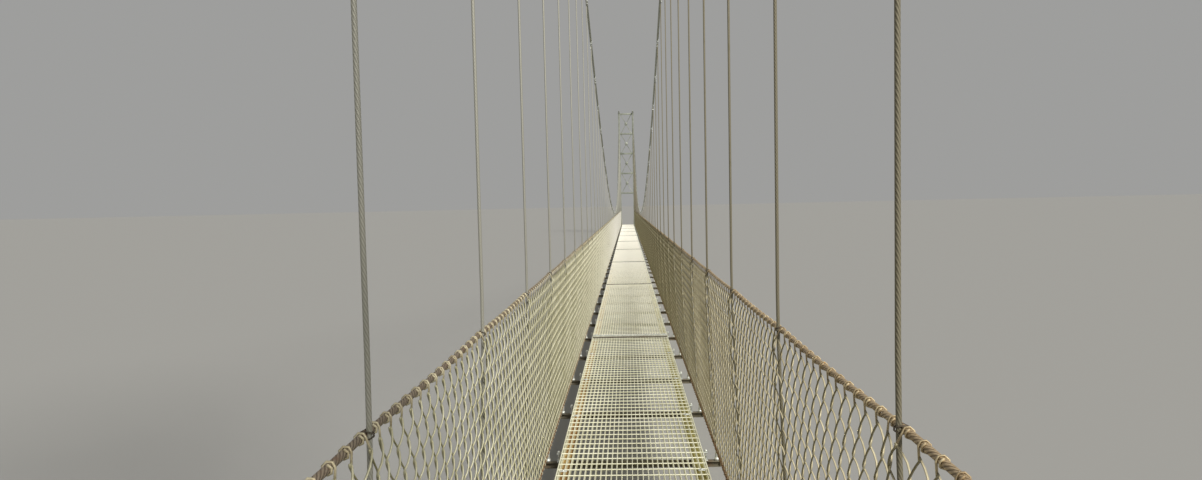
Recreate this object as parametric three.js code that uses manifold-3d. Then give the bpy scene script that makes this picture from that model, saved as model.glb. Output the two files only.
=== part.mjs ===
// A wire rope suspension footbridge with a steel grating deck and chain-link sides.
// Sizes are the real ones in millimetres, and the whole group is halved at the end.
// +Y runs along the deck, +X is to the right, +Z is up and the floor is z = 0.
import * as THREE from 'three';
import { mergeVertices } from 'three/addons/utils/BufferGeometryUtils.js';
import Module from 'manifold-3d';

const wasm = await Module();
wasm.setup();

const MODEL_SCALE = 0.5;

// Running gap between pieces that touch
const GAP = 0.6;

// Span and bays: a hanger stands at every bay line between the two towers
const BAY = 1200;
const BAYS = 51;
const PANEL_BAYS = 5;
const END_PANEL_BAYS = 2.4;
const HALF_SPAN = BAY * BAYS / 2;

// Deck
const DECK_TOP = 600;
const DECK_HALF_WIDTH = 440;
const DECK_END_INSET = 100;
const GRATING_DEPTH = 40;
const PANEL_JOINT = 6;
const STRINGER_WIDTH = 50;
const STRINGER_DEPTH = 100;
const STRINGER_EDGE_INSET = 5;
const CROSSBEAM_WIDTH = 40;
const CROSSBEAM_DEPTH = 40;
const CROSSBEAM_HALF_LENGTH = 575;
const END_CROSSBEAM_INSET = 220;
const FRAME_JOINT_BAYS = [17.25, 33.75];
const WELD_LAP = 1;

// Ropes
const CABLE_RADIUS = 16;
const CABLE_LOW_HEIGHT = 1250;
const CABLE_SAG = 7600;
const CABLE_X_LOW = 504;
const CABLE_X_TOWER = 531;
const HANGER_RADIUS = 6.5;
const HANGER_FOOT_X = 552;
const HANGER_KNEE_X = 507;
const RAIL_HEIGHT = 1100;
const RAIL_SAG = 6;
const RAIL_RADIUS = 8;
const RAIL_X = 519;
const FOOT_ROPE_DROP = 30;
const FOOT_ROPE_RADIUS = 8;
const FOOT_ROPE_X = 537;
const HANGER_GROUP_BAYS = [0, 17.5, 33.5, BAYS];
const MESH_ROLL_BAYS = [0, 25.5, BAYS];
const MESH_THICKNESS = 6;
const MESH_TOP_X = 497;

// Openings of a chain-link roll: a plain grid in place of the woven diamonds
const MESH_COLUMNS = 12;
const MESH_ROWS = 4;
const MESH_BAR = 24;

// Half diagonal of a square bar whose section equals that of a round rope of radius 1
const SQUARE_ROPE = Math.sqrt(Math.PI / 2);

// Towers and saddles
const COLUMN_WIDTH = 130;
const COLUMN_PLATE_WIDTH = 180;
const COLUMN_PLATE_DEPTH = 20;
const SADDLE_REACH = 150;
const SADDLE_DEPTH = 140;
const SADDLE_WIDTH = 110;
const SADDLE_STEPS = 8;
const CHEEK_THICKNESS = 14;
const PORTAL_CLEARANCE = 2400;
const TIE_DEPTH = 120;
const TIE_WIDTH = 90;
const BRACE_SIZE = 45;
const BRACE_PANELS = 4;

// Backstays and anchors
const BACKSTAY_ANGLE = THREE.MathUtils.degToRad(47);
const ANCHOR_HEIGHT = 690;
const ANCHOR_X = 950;
const ANCHOR_BLOCK_WIDTH = 900;
const ANCHOR_BLOCK_HEIGHT = 900;
const ANCHOR_BLOCK_END = 39900;
const ANCHOR_BLOCK_LENGTH = 1400;
const FITTING_LENGTH = 1150;
const FITTING_PLATE_WIDTH = 320;
const FITTING_PLATE_DEPTH = 25;
const FITTING_BLOCK_DEPTH = 90;
const FITTING_BLOCK_WIDTH = 150;
const FITTING_ROD_SIZE = 28;
const FITTING_ROD_SPACING = 90;
const SOCKET_LENGTH = 260;
const SOCKET_WIDTH = 72;

// Abutments
const ABUTMENT_HALF_WIDTH = 950;
const ABUTMENT_FRONT_REACH = 450;
const ABUTMENT_REAR_REACH = 750;
const LANDING_FRONT_REACH = 80;
const STEP_COUNT = 3;
const STEP_TREAD = 300;

// Heights and places that follow from the sizes above
const gratingBottom = DECK_TOP - GRATING_DEPTH;
const stringerTop = gratingBottom - GAP;
const crossbeamTop = stringerTop - STRINGER_DEPTH + WELD_LAP;
const crossbeamBottom = crossbeamTop - CROSSBEAM_DEPTH;
const abutmentTop = crossbeamBottom - GAP;
const railZ = DECK_TOP + RAIL_HEIGHT;
const footRopeZ = DECK_TOP - FOOT_ROPE_DROP;
const cableLowZ = DECK_TOP + CABLE_LOW_HEIGHT;
const cableCurve = CABLE_SAG / HALF_SPAN ** 2;
const cableEndY = HALF_SPAN - SADDLE_REACH;
const cableEndAngle = Math.atan(2 * cableCurve * cableEndY);
const saddleRadius = SADDLE_REACH / Math.sin(cableEndAngle);
const cableApexZ = cableLowZ + cableCurve * cableEndY ** 2 + saddleRadius * (1 - Math.cos(cableEndAngle));
const columnTop = cableApexZ - CABLE_RADIUS - SADDLE_DEPTH - 2 * GAP;
const columnFace = HALF_SPAN - COLUMN_WIDTH / 2 - GAP;
const stayTopY = HALF_SPAN + saddleRadius * Math.sin(BACKSTAY_ANGLE);
const stayTopZ = cableApexZ - saddleRadius * (1 - Math.cos(BACKSTAY_ANGLE));
const anchorY = stayTopY + (stayTopZ - ANCHOR_HEIGHT) / Math.tan(BACKSTAY_ANGLE);

// Finishes
const FINISH = {
  rope: { color: 0x8c8f7a, roughness: 0.6, metalness: 0.6 },
  weatheredRope: { color: 0xa5917a, roughness: 0.75, metalness: 0.3 },
  wire: { color: 0xb4b294, roughness: 0.6, metalness: 0.5 },
  grating: { color: 0xd6d4b4, roughness: 0.55, metalness: 0.5 },
  stringer: { color: 0xb99c6a, roughness: 0.8, metalness: 0.2 },
  tower: { color: 0x7f8678, roughness: 0.6, metalness: 0.5 },
  casting: { color: 0x6f7068, roughness: 0.65, metalness: 0.6 },
  concrete: { color: 0x9b9a8c, roughness: 0.95, metalness: 0 },
};

const bridge = new THREE.Group();
bridge.scale.setScalar(MODEL_SCALE);

function addPiece(name, geometry, finish, turned = false) {
  const mesh = new THREE.Mesh(geometry, new THREE.MeshStandardMaterial(finish));
  mesh.name = name;
  mesh.rotation.z = turned ? Math.PI : 0;
  bridge.add(mesh);
}

// Solids for joining and cutting
function solidOf(geometry) {
  const bare = geometry.index ? geometry.toNonIndexed() : geometry.clone();
  bare.deleteAttribute('normal');
  bare.deleteAttribute('uv');
  const merged = mergeVertices(bare);
  return new wasm.Manifold(new wasm.Mesh({
    numProp: 3,
    vertProperties: new Float32Array(merged.attributes.position.array),
    triVerts: new Uint32Array(merged.index.array),
  }));
}

function geometryOf(solid) {
  const mesh = solid.getMesh();
  const geometry = new THREE.BufferGeometry();
  geometry.setAttribute('position', new THREE.BufferAttribute(mesh.vertProperties, 3));
  geometry.setIndex(new THREE.BufferAttribute(mesh.triVerts, 1));
  return geometry;
}

function joined(geometries) {
  return geometries.map(solidOf).reduce((whole, piece) => whole.add(piece));
}

// Basic shapes
function block(low, high) {
  const size = new THREE.Vector3().subVectors(high, low);
  const centre = new THREE.Vector3().addVectors(low, high).multiplyScalar(0.5);
  return new THREE.BoxGeometry(size.x, size.y, size.z).translate(centre.x, centre.y, centre.z);
}

function point(x, y, z) {
  return new THREE.Vector3(x, y, z);
}

function squareBar(from, to, size) {
  const run = new THREE.Vector3().subVectors(to, from);
  const turn = new THREE.Quaternion().setFromUnitVectors(point(0, 0, 1), run.clone().normalize());
  const centre = new THREE.Vector3().addVectors(from, to).multiplyScalar(0.5);
  return new THREE.BoxGeometry(size, size, run.length())
    .applyQuaternion(turn)
    .translate(centre.x, centre.y, centre.z);
}

// A path that an extrusion follows through each of its points in turn
class PointRun extends THREE.Curve {
  constructor(points) {
    super();
    this.points = points;
  }

  getPoint(t) {
    const place = t * (this.points.length - 1);
    const index = Math.min(Math.floor(place), this.points.length - 2);
    return new THREE.Vector3().lerpVectors(this.points[index], this.points[index + 1], place - index);
  }

  getPointAt(u) {
    return this.getPoint(u);
  }

  getTangentAt(u) {
    const step = 1 / (this.points.length - 1);
    const before = this.getPoint(Math.max(u - step, 0));
    const after = this.getPoint(Math.min(u + step, 1));
    return after.sub(before).normalize();
  }
}

function tube(points, radius, sides) {
  const outline = new THREE.Shape();
  for (let side = 0; side < sides; side += 1) {
    const angle = 2 * Math.PI * (side + 0.5) / sides;
    const corner = new THREE.Vector2(radius * Math.cos(angle), radius * Math.sin(angle));
    if (side === 0) outline.moveTo(corner.x, corner.y);
    else outline.lineTo(corner.x, corner.y);
  }
  return new THREE.ExtrudeGeometry(outline, {
    steps: points.length - 1,
    bevelEnabled: false,
    extrudePath: new PointRun(points),
  });
}

// An outline drawn in (y, z), given a thickness along X
function sidePlate(outline, lowX, highX) {
  const shape = new THREE.Shape(outline.map(([y, z]) => new THREE.Vector2(y, z)));
  const turn = new THREE.Matrix4().makeBasis(point(0, 1, 0), point(0, 0, 1), point(1, 0, 0));
  return new THREE.ExtrudeGeometry(shape, { depth: highX - lowX, bevelEnabled: false })
    .applyMatrix4(turn)
    .translate(lowX, 0, 0);
}

// Places along the span
function bayLine(bays) {
  return -HALF_SPAN + bays * BAY;
}

function cableZ(y) {
  return cableLowZ + cableCurve * y * y;
}

function cableX(z) {
  return CABLE_X_LOW + (CABLE_X_TOWER - CABLE_X_LOW) * (z - railZ) / (cableApexZ - railZ);
}

// The rail is tied at each hanger and hangs a little between them
function railSagAt(bays) {
  return Number.isInteger(bays) ? 0 : RAIL_SAG;
}

function halfBayRange(fromBays, toBays) {
  const count = Math.round((toBays - fromBays) * 2);
  return Array.from({ length: count + 1 }, (unused, index) => fromBays + index / 2);
}

// A rope's stretch ends just short of the tower column, or of the next stretch
function stretchEnd(bays) {
  if (bays === 0) return -columnFace;
  if (bays === BAYS) return columnFace;
  return bayLine(bays);
}

// Main cables, from one anchor to the other
function stayDirection() {
  const top = point(CABLE_X_TOWER, -stayTopY, stayTopZ);
  const anchor = point(ANCHOR_X, -anchorY, ANCHOR_HEIGHT);
  return new THREE.Vector3().subVectors(top, anchor).normalize();
}

function halfCablePoints() {
  const anchor = point(ANCHOR_X, -anchorY, ANCHOR_HEIGHT);
  const start = anchor.addScaledVector(stayDirection(), FITTING_LENGTH + GAP);
  const points = [start];
  for (let step = 0; step <= SADDLE_STEPS; step += 1) {
    const angle = THREE.MathUtils.lerp(-BACKSTAY_ANGLE, cableEndAngle, step / SADDLE_STEPS);
    const y = -HALF_SPAN + saddleRadius * Math.sin(angle);
    const z = cableApexZ - saddleRadius * (1 - Math.cos(angle));
    points.push(point(CABLE_X_TOWER, y, z));
  }
  for (let bay = 1; bay <= (BAYS - 1) / 2; bay += 1) {
    const y = bayLine(bay);
    points.push(point(cableX(cableZ(y)), y, cableZ(y)));
  }
  return points;
}

function cablePoints(side) {
  const near = halfCablePoints();
  const far = near.map((place) => point(place.x, -place.y, place.z)).reverse();
  return [...near, ...far].map((place) => point(side * place.x, place.y, place.z));
}

// Hangers with their stretch of rail rope outside them and foot rope inside, tied where they cross
function hangerGroup(side, fromBays, toBays) {
  const ropes = [];
  const stretch = halfBayRange(fromBays, toBays);
  const inset = (bays) => {
    const end = stretchEnd(bays);
    if (bays === fromBays && bays !== 0) return end + GAP / 2;
    if (bays === toBays && bays !== BAYS) return end - GAP / 2;
    return end;
  };
  const railPoints = stretch.map((bays) => point(side * RAIL_X, inset(bays), railZ - railSagAt(bays)));
  ropes.push(tube(railPoints, RAIL_RADIUS * SQUARE_ROPE, 4));
  const footPoints = [fromBays, toBays].map((bays) => point(side * FOOT_ROPE_X, inset(bays), footRopeZ));
  ropes.push(tube(footPoints, FOOT_ROPE_RADIUS * SQUARE_ROPE, 4));
  for (let bay = Math.ceil(Math.max(fromBays, 1)); bay <= Math.min(toBays, BAYS - 1); bay += 1) {
    const y = bayLine(bay);
    const foot = point(side * HANGER_FOOT_X, y, crossbeamTop + GAP);
    const knee = point(side * HANGER_KNEE_X, y, railZ);
    const top = point(side * cableX(cableZ(y)), y, cableZ(y));
    ropes.push(tube([foot, knee, top], HANGER_RADIUS * SQUARE_ROPE, 4));
  }
  const clearance = solidOf(tube(cablePoints(side), CABLE_RADIUS + GAP, 6));
  return geometryOf(joined(ropes).subtract(clearance));
}

// Openings in even rows and columns, with a bar left round each
function gridOpenings(lowY, highY, bottom, top) {
  const columnPitch = (highY - lowY - MESH_BAR) / MESH_COLUMNS;
  const rowPitch = (top - bottom - MESH_BAR) / MESH_ROWS;
  const openings = [];
  for (let column = 0; column < MESH_COLUMNS; column += 1) {
    for (let row = 0; row < MESH_ROWS; row += 1) {
      const y = lowY + MESH_BAR + column * columnPitch;
      const z = bottom + MESH_BAR + row * rowPitch;
      openings.push(block(
        point(-MESH_THICKNESS, y, z),
        point(MESH_THICKNESS, y + columnPitch - MESH_BAR, z + rowPitch - MESH_BAR),
      ));
    }
  }
  return joined(openings);
}

// Chain-link roll: a thin sheet of openwork inside the hangers, from the foot rope up to the rail rope
function meshRoll(side, fromBays, toBays) {
  const bottom = footRopeZ + FOOT_ROPE_RADIUS + GAP;
  const railEdge = railZ - RAIL_RADIUS - GAP;
  const lowY = stretchEnd(fromBays) + GAP / 2;
  const highY = stretchEnd(toBays) - GAP / 2;
  const top = halfBayRange(fromBays, toBays).map((bays) => {
    const y = THREE.MathUtils.clamp(bayLine(bays), lowY, highY);
    return [y, railEdge - railSagAt(bays)];
  });
  const outline = [[lowY, bottom], [highY, bottom], ...top.reverse()];
  const sheet = solidOf(sidePlate(outline, -MESH_THICKNESS / 2, MESH_THICKNESS / 2));
  const openings = gridOpenings(lowY, highY, bottom, railEdge - RAIL_SAG);
  const lean = (MESH_TOP_X - FOOT_ROPE_X) / (railZ - footRopeZ);
  const shear = new THREE.Matrix4().makeShear(0, 0, 0, 0, side * lean, 0);
  return geometryOf(sheet.subtract(openings))
    .applyMatrix4(shear)
    .translate(side * (FOOT_ROPE_X - lean * footRopeZ), 0, 0);
}

// Deck frame: two stringers on crossbeams, one crossbeam at each hanger
function deckFrame(fromBays, toBays) {
  const endY = HALF_SPAN - DECK_END_INSET;
  const lowY = fromBays === 0 ? -endY : bayLine(fromBays) + GAP / 2;
  const highY = toBays === BAYS ? endY : bayLine(toBays) - GAP / 2;
  const outer = DECK_HALF_WIDTH - STRINGER_EDGE_INSET;
  const inner = outer - STRINGER_WIDTH;
  const bottom = stringerTop - STRINGER_DEPTH;
  const bars = [
    block(point(-outer, lowY, bottom), point(-inner, highY, stringerTop)),
    block(point(inner, lowY, bottom), point(outer, highY, stringerTop)),
  ];
  for (let bay = Math.ceil(fromBays); bay <= toBays; bay += 1) {
    const limit = HALF_SPAN - END_CROSSBEAM_INSET;
    const y = THREE.MathUtils.clamp(bayLine(bay), -limit, limit);
    bars.push(block(
      point(-CROSSBEAM_HALF_LENGTH, y - CROSSBEAM_WIDTH / 2, crossbeamBottom),
      point(CROSSBEAM_HALF_LENGTH, y + CROSSBEAM_WIDTH / 2, crossbeamTop),
    ));
  }
  return geometryOf(joined(bars));
}

function gratingPanel(fromBays, toBays) {
  const endY = HALF_SPAN - DECK_END_INSET;
  const lowY = Math.max(bayLine(fromBays) + PANEL_JOINT / 2, -endY);
  const highY = Math.min(bayLine(toBays) - PANEL_JOINT / 2, endY);
  return block(point(-DECK_HALF_WIDTH, lowY, gratingBottom), point(DECK_HALF_WIDTH, highY, DECK_TOP));
}

// Tower pieces, built at the near end
function column(side) {
  const x = side * CABLE_X_TOWER;
  const bottom = abutmentTop + GAP;
  const square = (width, low, high) => block(
    point(x - width / 2, -HALF_SPAN - width / 2, low),
    point(x + width / 2, -HALF_SPAN + width / 2, high),
  );
  return geometryOf(joined([
    square(COLUMN_PLATE_WIDTH, bottom, bottom + COLUMN_PLATE_DEPTH),
    square(COLUMN_WIDTH, bottom, columnTop),
    square(COLUMN_PLATE_WIDTH, columnTop - COLUMN_PLATE_DEPTH, columnTop),
  ]));
}

function towerFrame() {
  const reach = CABLE_X_TOWER - COLUMN_WIDTH / 2 - GAP;
  const low = DECK_TOP + PORTAL_CLEARANCE;
  const high = columnTop - COLUMN_PLATE_DEPTH - GAP - TIE_DEPTH;
  const panel = (high - low) / BRACE_PANELS;
  const bars = [];
  for (let level = 0; level <= BRACE_PANELS; level += 1) {
    const z = low + level * panel;
    bars.push(block(
      point(-reach, -HALF_SPAN - TIE_WIDTH / 2, z),
      point(reach, -HALF_SPAN + TIE_WIDTH / 2, z + TIE_DEPTH),
    ));
    if (level === BRACE_PANELS) continue;
    for (const side of [-1, 1]) {
      const foot = point(-side * (reach - BRACE_SIZE), -HALF_SPAN, z + TIE_DEPTH / 2);
      const head = point(side * (reach - BRACE_SIZE), -HALF_SPAN, z + panel + TIE_DEPTH / 2);
      bars.push(squareBar(foot, head, BRACE_SIZE));
    }
  }
  return geometryOf(joined(bars));
}

function saddle(side) {
  const x = side * CABLE_X_TOWER;
  const bottom = columnTop + GAP;
  const crown = saddleRadius - CABLE_RADIUS - GAP;
  const centreZ = cableApexZ - saddleRadius;
  const crownPoints = [];
  const cheekPoints = [];
  for (let step = 0; step <= SADDLE_STEPS; step += 1) {
    const angle = THREE.MathUtils.lerp(-BACKSTAY_ANGLE, cableEndAngle, step / SADDLE_STEPS);
    const across = Math.sin(angle);
    const up = Math.cos(angle);
    crownPoints.push([-HALF_SPAN + crown * across, centreZ + crown * up]);
    cheekPoints.push([-HALF_SPAN + saddleRadius * across, centreZ + saddleRadius * up]);
  }
  const closed = (points) => [[points[0][0], bottom], [points.at(-1)[0], bottom], ...[...points].reverse()];
  const innerX = CABLE_RADIUS + GAP;
  return geometryOf(joined([
    sidePlate(closed(crownPoints), x - SADDLE_WIDTH / 2, x + SADDLE_WIDTH / 2),
    sidePlate(closed(cheekPoints), x - innerX - CHEEK_THICKNESS, x - innerX),
    sidePlate(closed(cheekPoints), x + innerX, x + innerX + CHEEK_THICKNESS),
  ]));
}

// Abutment: a block under tower and deck end, a raised landing and its steps
function abutment() {
  const landingFront = -HALF_SPAN + LANDING_FRONT_REACH;
  const rear = -HALF_SPAN - ABUTMENT_REAR_REACH;
  const masses = [
    block(
      point(-ABUTMENT_HALF_WIDTH, rear, 0),
      point(ABUTMENT_HALF_WIDTH, -HALF_SPAN + ABUTMENT_FRONT_REACH, abutmentTop),
    ),
    block(point(-DECK_HALF_WIDTH, rear, 0), point(DECK_HALF_WIDTH, landingFront, DECK_TOP)),
  ];
  for (let step = 1; step <= STEP_COUNT; step += 1) {
    const top = DECK_TOP * (1 - step / (STEP_COUNT + 1));
    masses.push(block(
      point(-DECK_HALF_WIDTH, rear - step * STEP_TREAD, 0),
      point(DECK_HALF_WIDTH, landingFront, top),
    ));
  }
  return geometryOf(joined(masses));
}

// Anchors: a concrete block whose cut corner faces the backstay
function anchorBlock(side) {
  const rear = -ANCHOR_BLOCK_END;
  const front = rear + ANCHOR_BLOCK_LENGTH;
  const slope = Math.tan(BACKSTAY_ANGLE);
  const faceY = (z) => -anchorY - (z - ANCHOR_HEIGHT) * slope;
  const outline = [
    [rear, 0],
    [front, 0],
    [front, ANCHOR_HEIGHT - (front + anchorY) / slope],
    [faceY(ANCHOR_BLOCK_HEIGHT), ANCHOR_BLOCK_HEIGHT],
    [rear, ANCHOR_BLOCK_HEIGHT],
  ];
  const lowX = side * ANCHOR_X - ANCHOR_BLOCK_WIDTH / 2;
  return sidePlate(outline, lowX, lowX + ANCHOR_BLOCK_WIDTH);
}

// Tension fitting: plate on the concrete, yoke, two threaded rods and the cable socket
function anchorFitting(side) {
  const anchor = point(side * ANCHOR_X, -anchorY, ANCHOR_HEIGHT);
  const square = point(0, Math.cos(BACKSTAY_ANGLE), Math.sin(BACKSTAY_ANGLE));
  const stay = stayDirection();
  stay.x *= side;
  const along = (direction, distance) => anchor.clone().addScaledVector(direction, distance);
  const slab = (direction, from, to, width) => {
    const size = point(width, width, to - from);
    const turn = new THREE.Quaternion().setFromUnitVectors(point(0, 0, 1), direction);
    const centre = along(direction, (from + to) / 2);
    return new THREE.BoxGeometry(size.x, size.y, size.z)
      .applyQuaternion(turn)
      .translate(centre.x, centre.y, centre.z);
  };
  const yokeTop = FITTING_PLATE_DEPTH + FITTING_BLOCK_DEPTH;
  const socketFoot = FITTING_LENGTH - SOCKET_LENGTH;
  const pieces = [
    slab(square, GAP, FITTING_PLATE_DEPTH, FITTING_PLATE_WIDTH),
    slab(square, FITTING_PLATE_DEPTH - WELD_LAP, yokeTop, FITTING_BLOCK_WIDTH),
    slab(stay, socketFoot - FITTING_BLOCK_DEPTH, socketFoot, FITTING_BLOCK_WIDTH),
    slab(stay, socketFoot - WELD_LAP, FITTING_LENGTH, SOCKET_WIDTH),
  ];
  for (const offset of [-FITTING_ROD_SPACING / 2, FITTING_ROD_SPACING / 2]) {
    const from = along(stay, yokeTop - FITTING_BLOCK_DEPTH / 2);
    const to = along(stay, socketFoot - FITTING_BLOCK_DEPTH / 2);
    from.x += offset;
    to.x += offset;
    pieces.push(squareBar(from, to, FITTING_ROD_SIZE));
  }
  return geometryOf(joined(pieces));
}

// Both ends: the far end is the near one turned half round
const ENDS = [
  { name: 'near', turned: false },
  { name: 'far', turned: true },
];
const SIDES = [
  { name: 'left', sign: -1 },
  { name: 'right', sign: 1 },
];

for (const end of ENDS) {
  addPiece(`${end.name}_abutment`, abutment(), FINISH.concrete, end.turned);
  addPiece(`${end.name}_tower_frame`, towerFrame(), FINISH.tower, end.turned);
  for (const side of SIDES) {
    const sign = end.turned ? -side.sign : side.sign;
    const label = `${end.name}_${side.name}`;
    addPiece(`${label}_column`, column(sign), FINISH.tower, end.turned);
    addPiece(`${label}_saddle`, saddle(sign), FINISH.casting, end.turned);
    addPiece(`${label}_anchor_block`, anchorBlock(sign), FINISH.concrete, end.turned);
    addPiece(`${label}_anchor_fitting`, anchorFitting(sign), FINISH.casting, end.turned);
  }
}

// Both sides: cable, hangers and chain-link
for (const side of SIDES) {
  addPiece(`${side.name}_main_cable`, tube(cablePoints(side.sign), CABLE_RADIUS, 6), FINISH.rope);
  for (let group = 1; group < HANGER_GROUP_BAYS.length; group += 1) {
    const hangers = hangerGroup(side.sign, HANGER_GROUP_BAYS[group - 1], HANGER_GROUP_BAYS[group]);
    addPiece(`${side.name}_hangers_${group}`, hangers, FINISH.weatheredRope);
  }
  for (let roll = 1; roll < MESH_ROLL_BAYS.length; roll += 1) {
    const sheet = meshRoll(side.sign, MESH_ROLL_BAYS[roll - 1], MESH_ROLL_BAYS[roll]);
    addPiece(`${side.name}_chain_link_${roll}`, sheet, FINISH.wire);
  }
}

// Deck, from the near end to the far end
const frameLimits = [0, ...FRAME_JOINT_BAYS, BAYS];
for (let frame = 1; frame < frameLimits.length; frame += 1) {
  addPiece(`deck_frame_${frame}`, deckFrame(frameLimits[frame - 1], frameLimits[frame]), FINISH.stringer);
}

const panelLimits = [0];
for (let bays = END_PANEL_BAYS; bays < BAYS; bays += PANEL_BAYS) panelLimits.push(bays);
panelLimits.push(BAYS);
for (let panel = 1; panel < panelLimits.length; panel += 1) {
  const geometry = gratingPanel(panelLimits[panel - 1], panelLimits[panel]);
  addPiece(`grating_panel_${panel}`, geometry, FINISH.grating);
}

export default bridge;
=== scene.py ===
"""Finishes and fine parts of a steel wire-rope suspension footbridge, a 1:2 model.

Sizes are model metres, half the real ones. +Y runs along the deck, +Z is up and the floor is z = 0.
"""
import logging
import math
from collections.abc import Iterable, Iterator, Sequence
from contextlib import contextmanager
from dataclasses import dataclass
from enum import Enum

import bpy
import numpy as np
from mathutils import Matrix, Vector


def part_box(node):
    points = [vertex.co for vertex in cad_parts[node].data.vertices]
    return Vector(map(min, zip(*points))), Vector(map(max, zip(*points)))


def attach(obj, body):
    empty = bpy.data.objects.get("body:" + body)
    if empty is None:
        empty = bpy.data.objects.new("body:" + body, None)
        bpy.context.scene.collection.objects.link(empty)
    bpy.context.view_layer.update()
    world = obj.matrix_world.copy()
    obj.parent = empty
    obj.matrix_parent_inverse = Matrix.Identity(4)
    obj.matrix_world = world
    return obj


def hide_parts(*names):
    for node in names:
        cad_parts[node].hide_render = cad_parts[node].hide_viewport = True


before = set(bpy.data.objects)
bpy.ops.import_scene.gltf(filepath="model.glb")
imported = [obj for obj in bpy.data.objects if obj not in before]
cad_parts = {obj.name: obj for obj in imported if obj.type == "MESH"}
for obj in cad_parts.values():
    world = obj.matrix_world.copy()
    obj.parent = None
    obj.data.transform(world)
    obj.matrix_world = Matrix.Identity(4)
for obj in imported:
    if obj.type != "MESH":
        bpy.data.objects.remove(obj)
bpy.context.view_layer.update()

LOG = logging.getLogger("footbridge")

MODEL_SCALE = 0.5
PHOTO_WIDTH = 1202
SENSOR_WIDTH = 36.0

Piece = bpy.types.Object
Material = bpy.types.Material
Triple = tuple[float, float, float]
Corners = tuple[Triple, Triple]


class Side(Enum):
    """The two sides of the walk, seen from the near end, with the way along X in which each lies."""

    LEFT = -1
    RIGHT = 1

    @property
    def label(self) -> str:
        """The word that the node names use."""
        return self.name.lower()

    @property
    def mirror(self) -> np.ndarray:
        """Factors that carry a place on the right to this side."""
        return np.array([self.value, 1, 1])

    @property
    def turn(self) -> Matrix:
        """Half a turn about the vertical for the left side, where a part faces the other way."""
        return Matrix.Rotation(math.pi if self is Side.LEFT else 0.0, 4, "Z")


class End(Enum):
    """The two ends of the bridge, with the way along Y in which each lies."""

    NEAR = -1
    FAR = 1

    @property
    def label(self) -> str:
        """The word that the node names use."""
        return self.name.lower()

    @property
    def turn(self) -> Matrix:
        """Half a turn about the vertical for the far end, which copies the near one."""
        return Matrix.Rotation(math.pi if self is End.FAR else 0.0, 4, "Z")


class Slot(Enum):
    """The record's material slots."""

    CONCRETE = "concrete"
    TOWER = "tower_steel"
    CASTING = "castings"
    MAIN_ROPE = "main_rope"
    HANGER_ROPE = "hanger_rope"
    MESH = "chain_link"
    GRATING = "grating"
    DECK = "deck_steel"


class Wire(Enum):
    """How finely a chain-link wire is drawn: degrees of the bends in one turn of its coil, and sides."""

    CLOSE = ((0, 20, 50, 90, 130, 160, 180, 200, 230, 270, 310, 340), 3)
    DISTANT = ((0, 90, 180, 270), 3)


# Helpers for colours and shader nodes


def linear(code: str) -> tuple[float, float, float, float]:
    """Turns an sRGB hex colour into the linear values that shaders take.

    Args:
        code: six hex digits.

    Returns:
        Linear red, green, blue and an alpha of 1.
    """
    channels = [int(code[start:start + 2], 16) / 255 for start in (0, 2, 4)]
    red, green, blue = (c / 12.92 if c <= 0.04045 else ((c + 0.055) / 1.055) ** 2.4 for c in channels)
    return (red, green, blue, 1.0)


def per_metre(real_mm: float) -> float:
    """Gives a texture scale for features of a real size, on the half-size model."""
    return 1000 / (real_mm * MODEL_SCALE)


def add(tree: bpy.types.NodeTree, kind: str, inputs: dict[str | int, object] | None = None,
        stops: Sequence[tuple[float, str]] = (), **settings: object) -> bpy.types.Node:
    """Adds a shader node with its settings, its links and, on a ramp, its colour stops.

    Args:
        tree: the material's node tree.
        kind: the node's type name.
        inputs: input names or numbers, each with an output socket to link or a value to hold.
        stops: places and hex colours of a colour ramp.
        settings: properties of the node itself.

    Returns:
        The new node.
    """
    made = tree.nodes.new(kind)
    for name, value in settings.items():
        setattr(made, name, value)
    for key, value in (inputs or {}).items():
        if isinstance(value, bpy.types.NodeSocket):
            tree.links.new(value, made.inputs[key])
        else:
            made.inputs[key].default_value = value
    for index, (place, code) in enumerate(stops):
        elements = made.color_ramp.elements
        stop = elements[index] if index < 2 else elements.new(place)
        stop.position = place
        stop.color = linear(code)
    return made


def blank(name: str, roughness: float, metallic: float) -> tuple[Material, bpy.types.Node]:
    """Starts a material with one principled shader.

    Args:
        name: the finish's name.
        roughness: the shader's roughness where nothing is linked.
        metallic: the shader's metallic value.

    Returns:
        The material and its shader node.
    """
    material = bpy.data.materials.new(name)
    material.use_nodes = True
    shader = material.node_tree.nodes["Principled BSDF"]
    shader.inputs["Roughness"].default_value = roughness
    shader.inputs["Metallic"].default_value = metallic
    return material, shader


# Finishes


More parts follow.
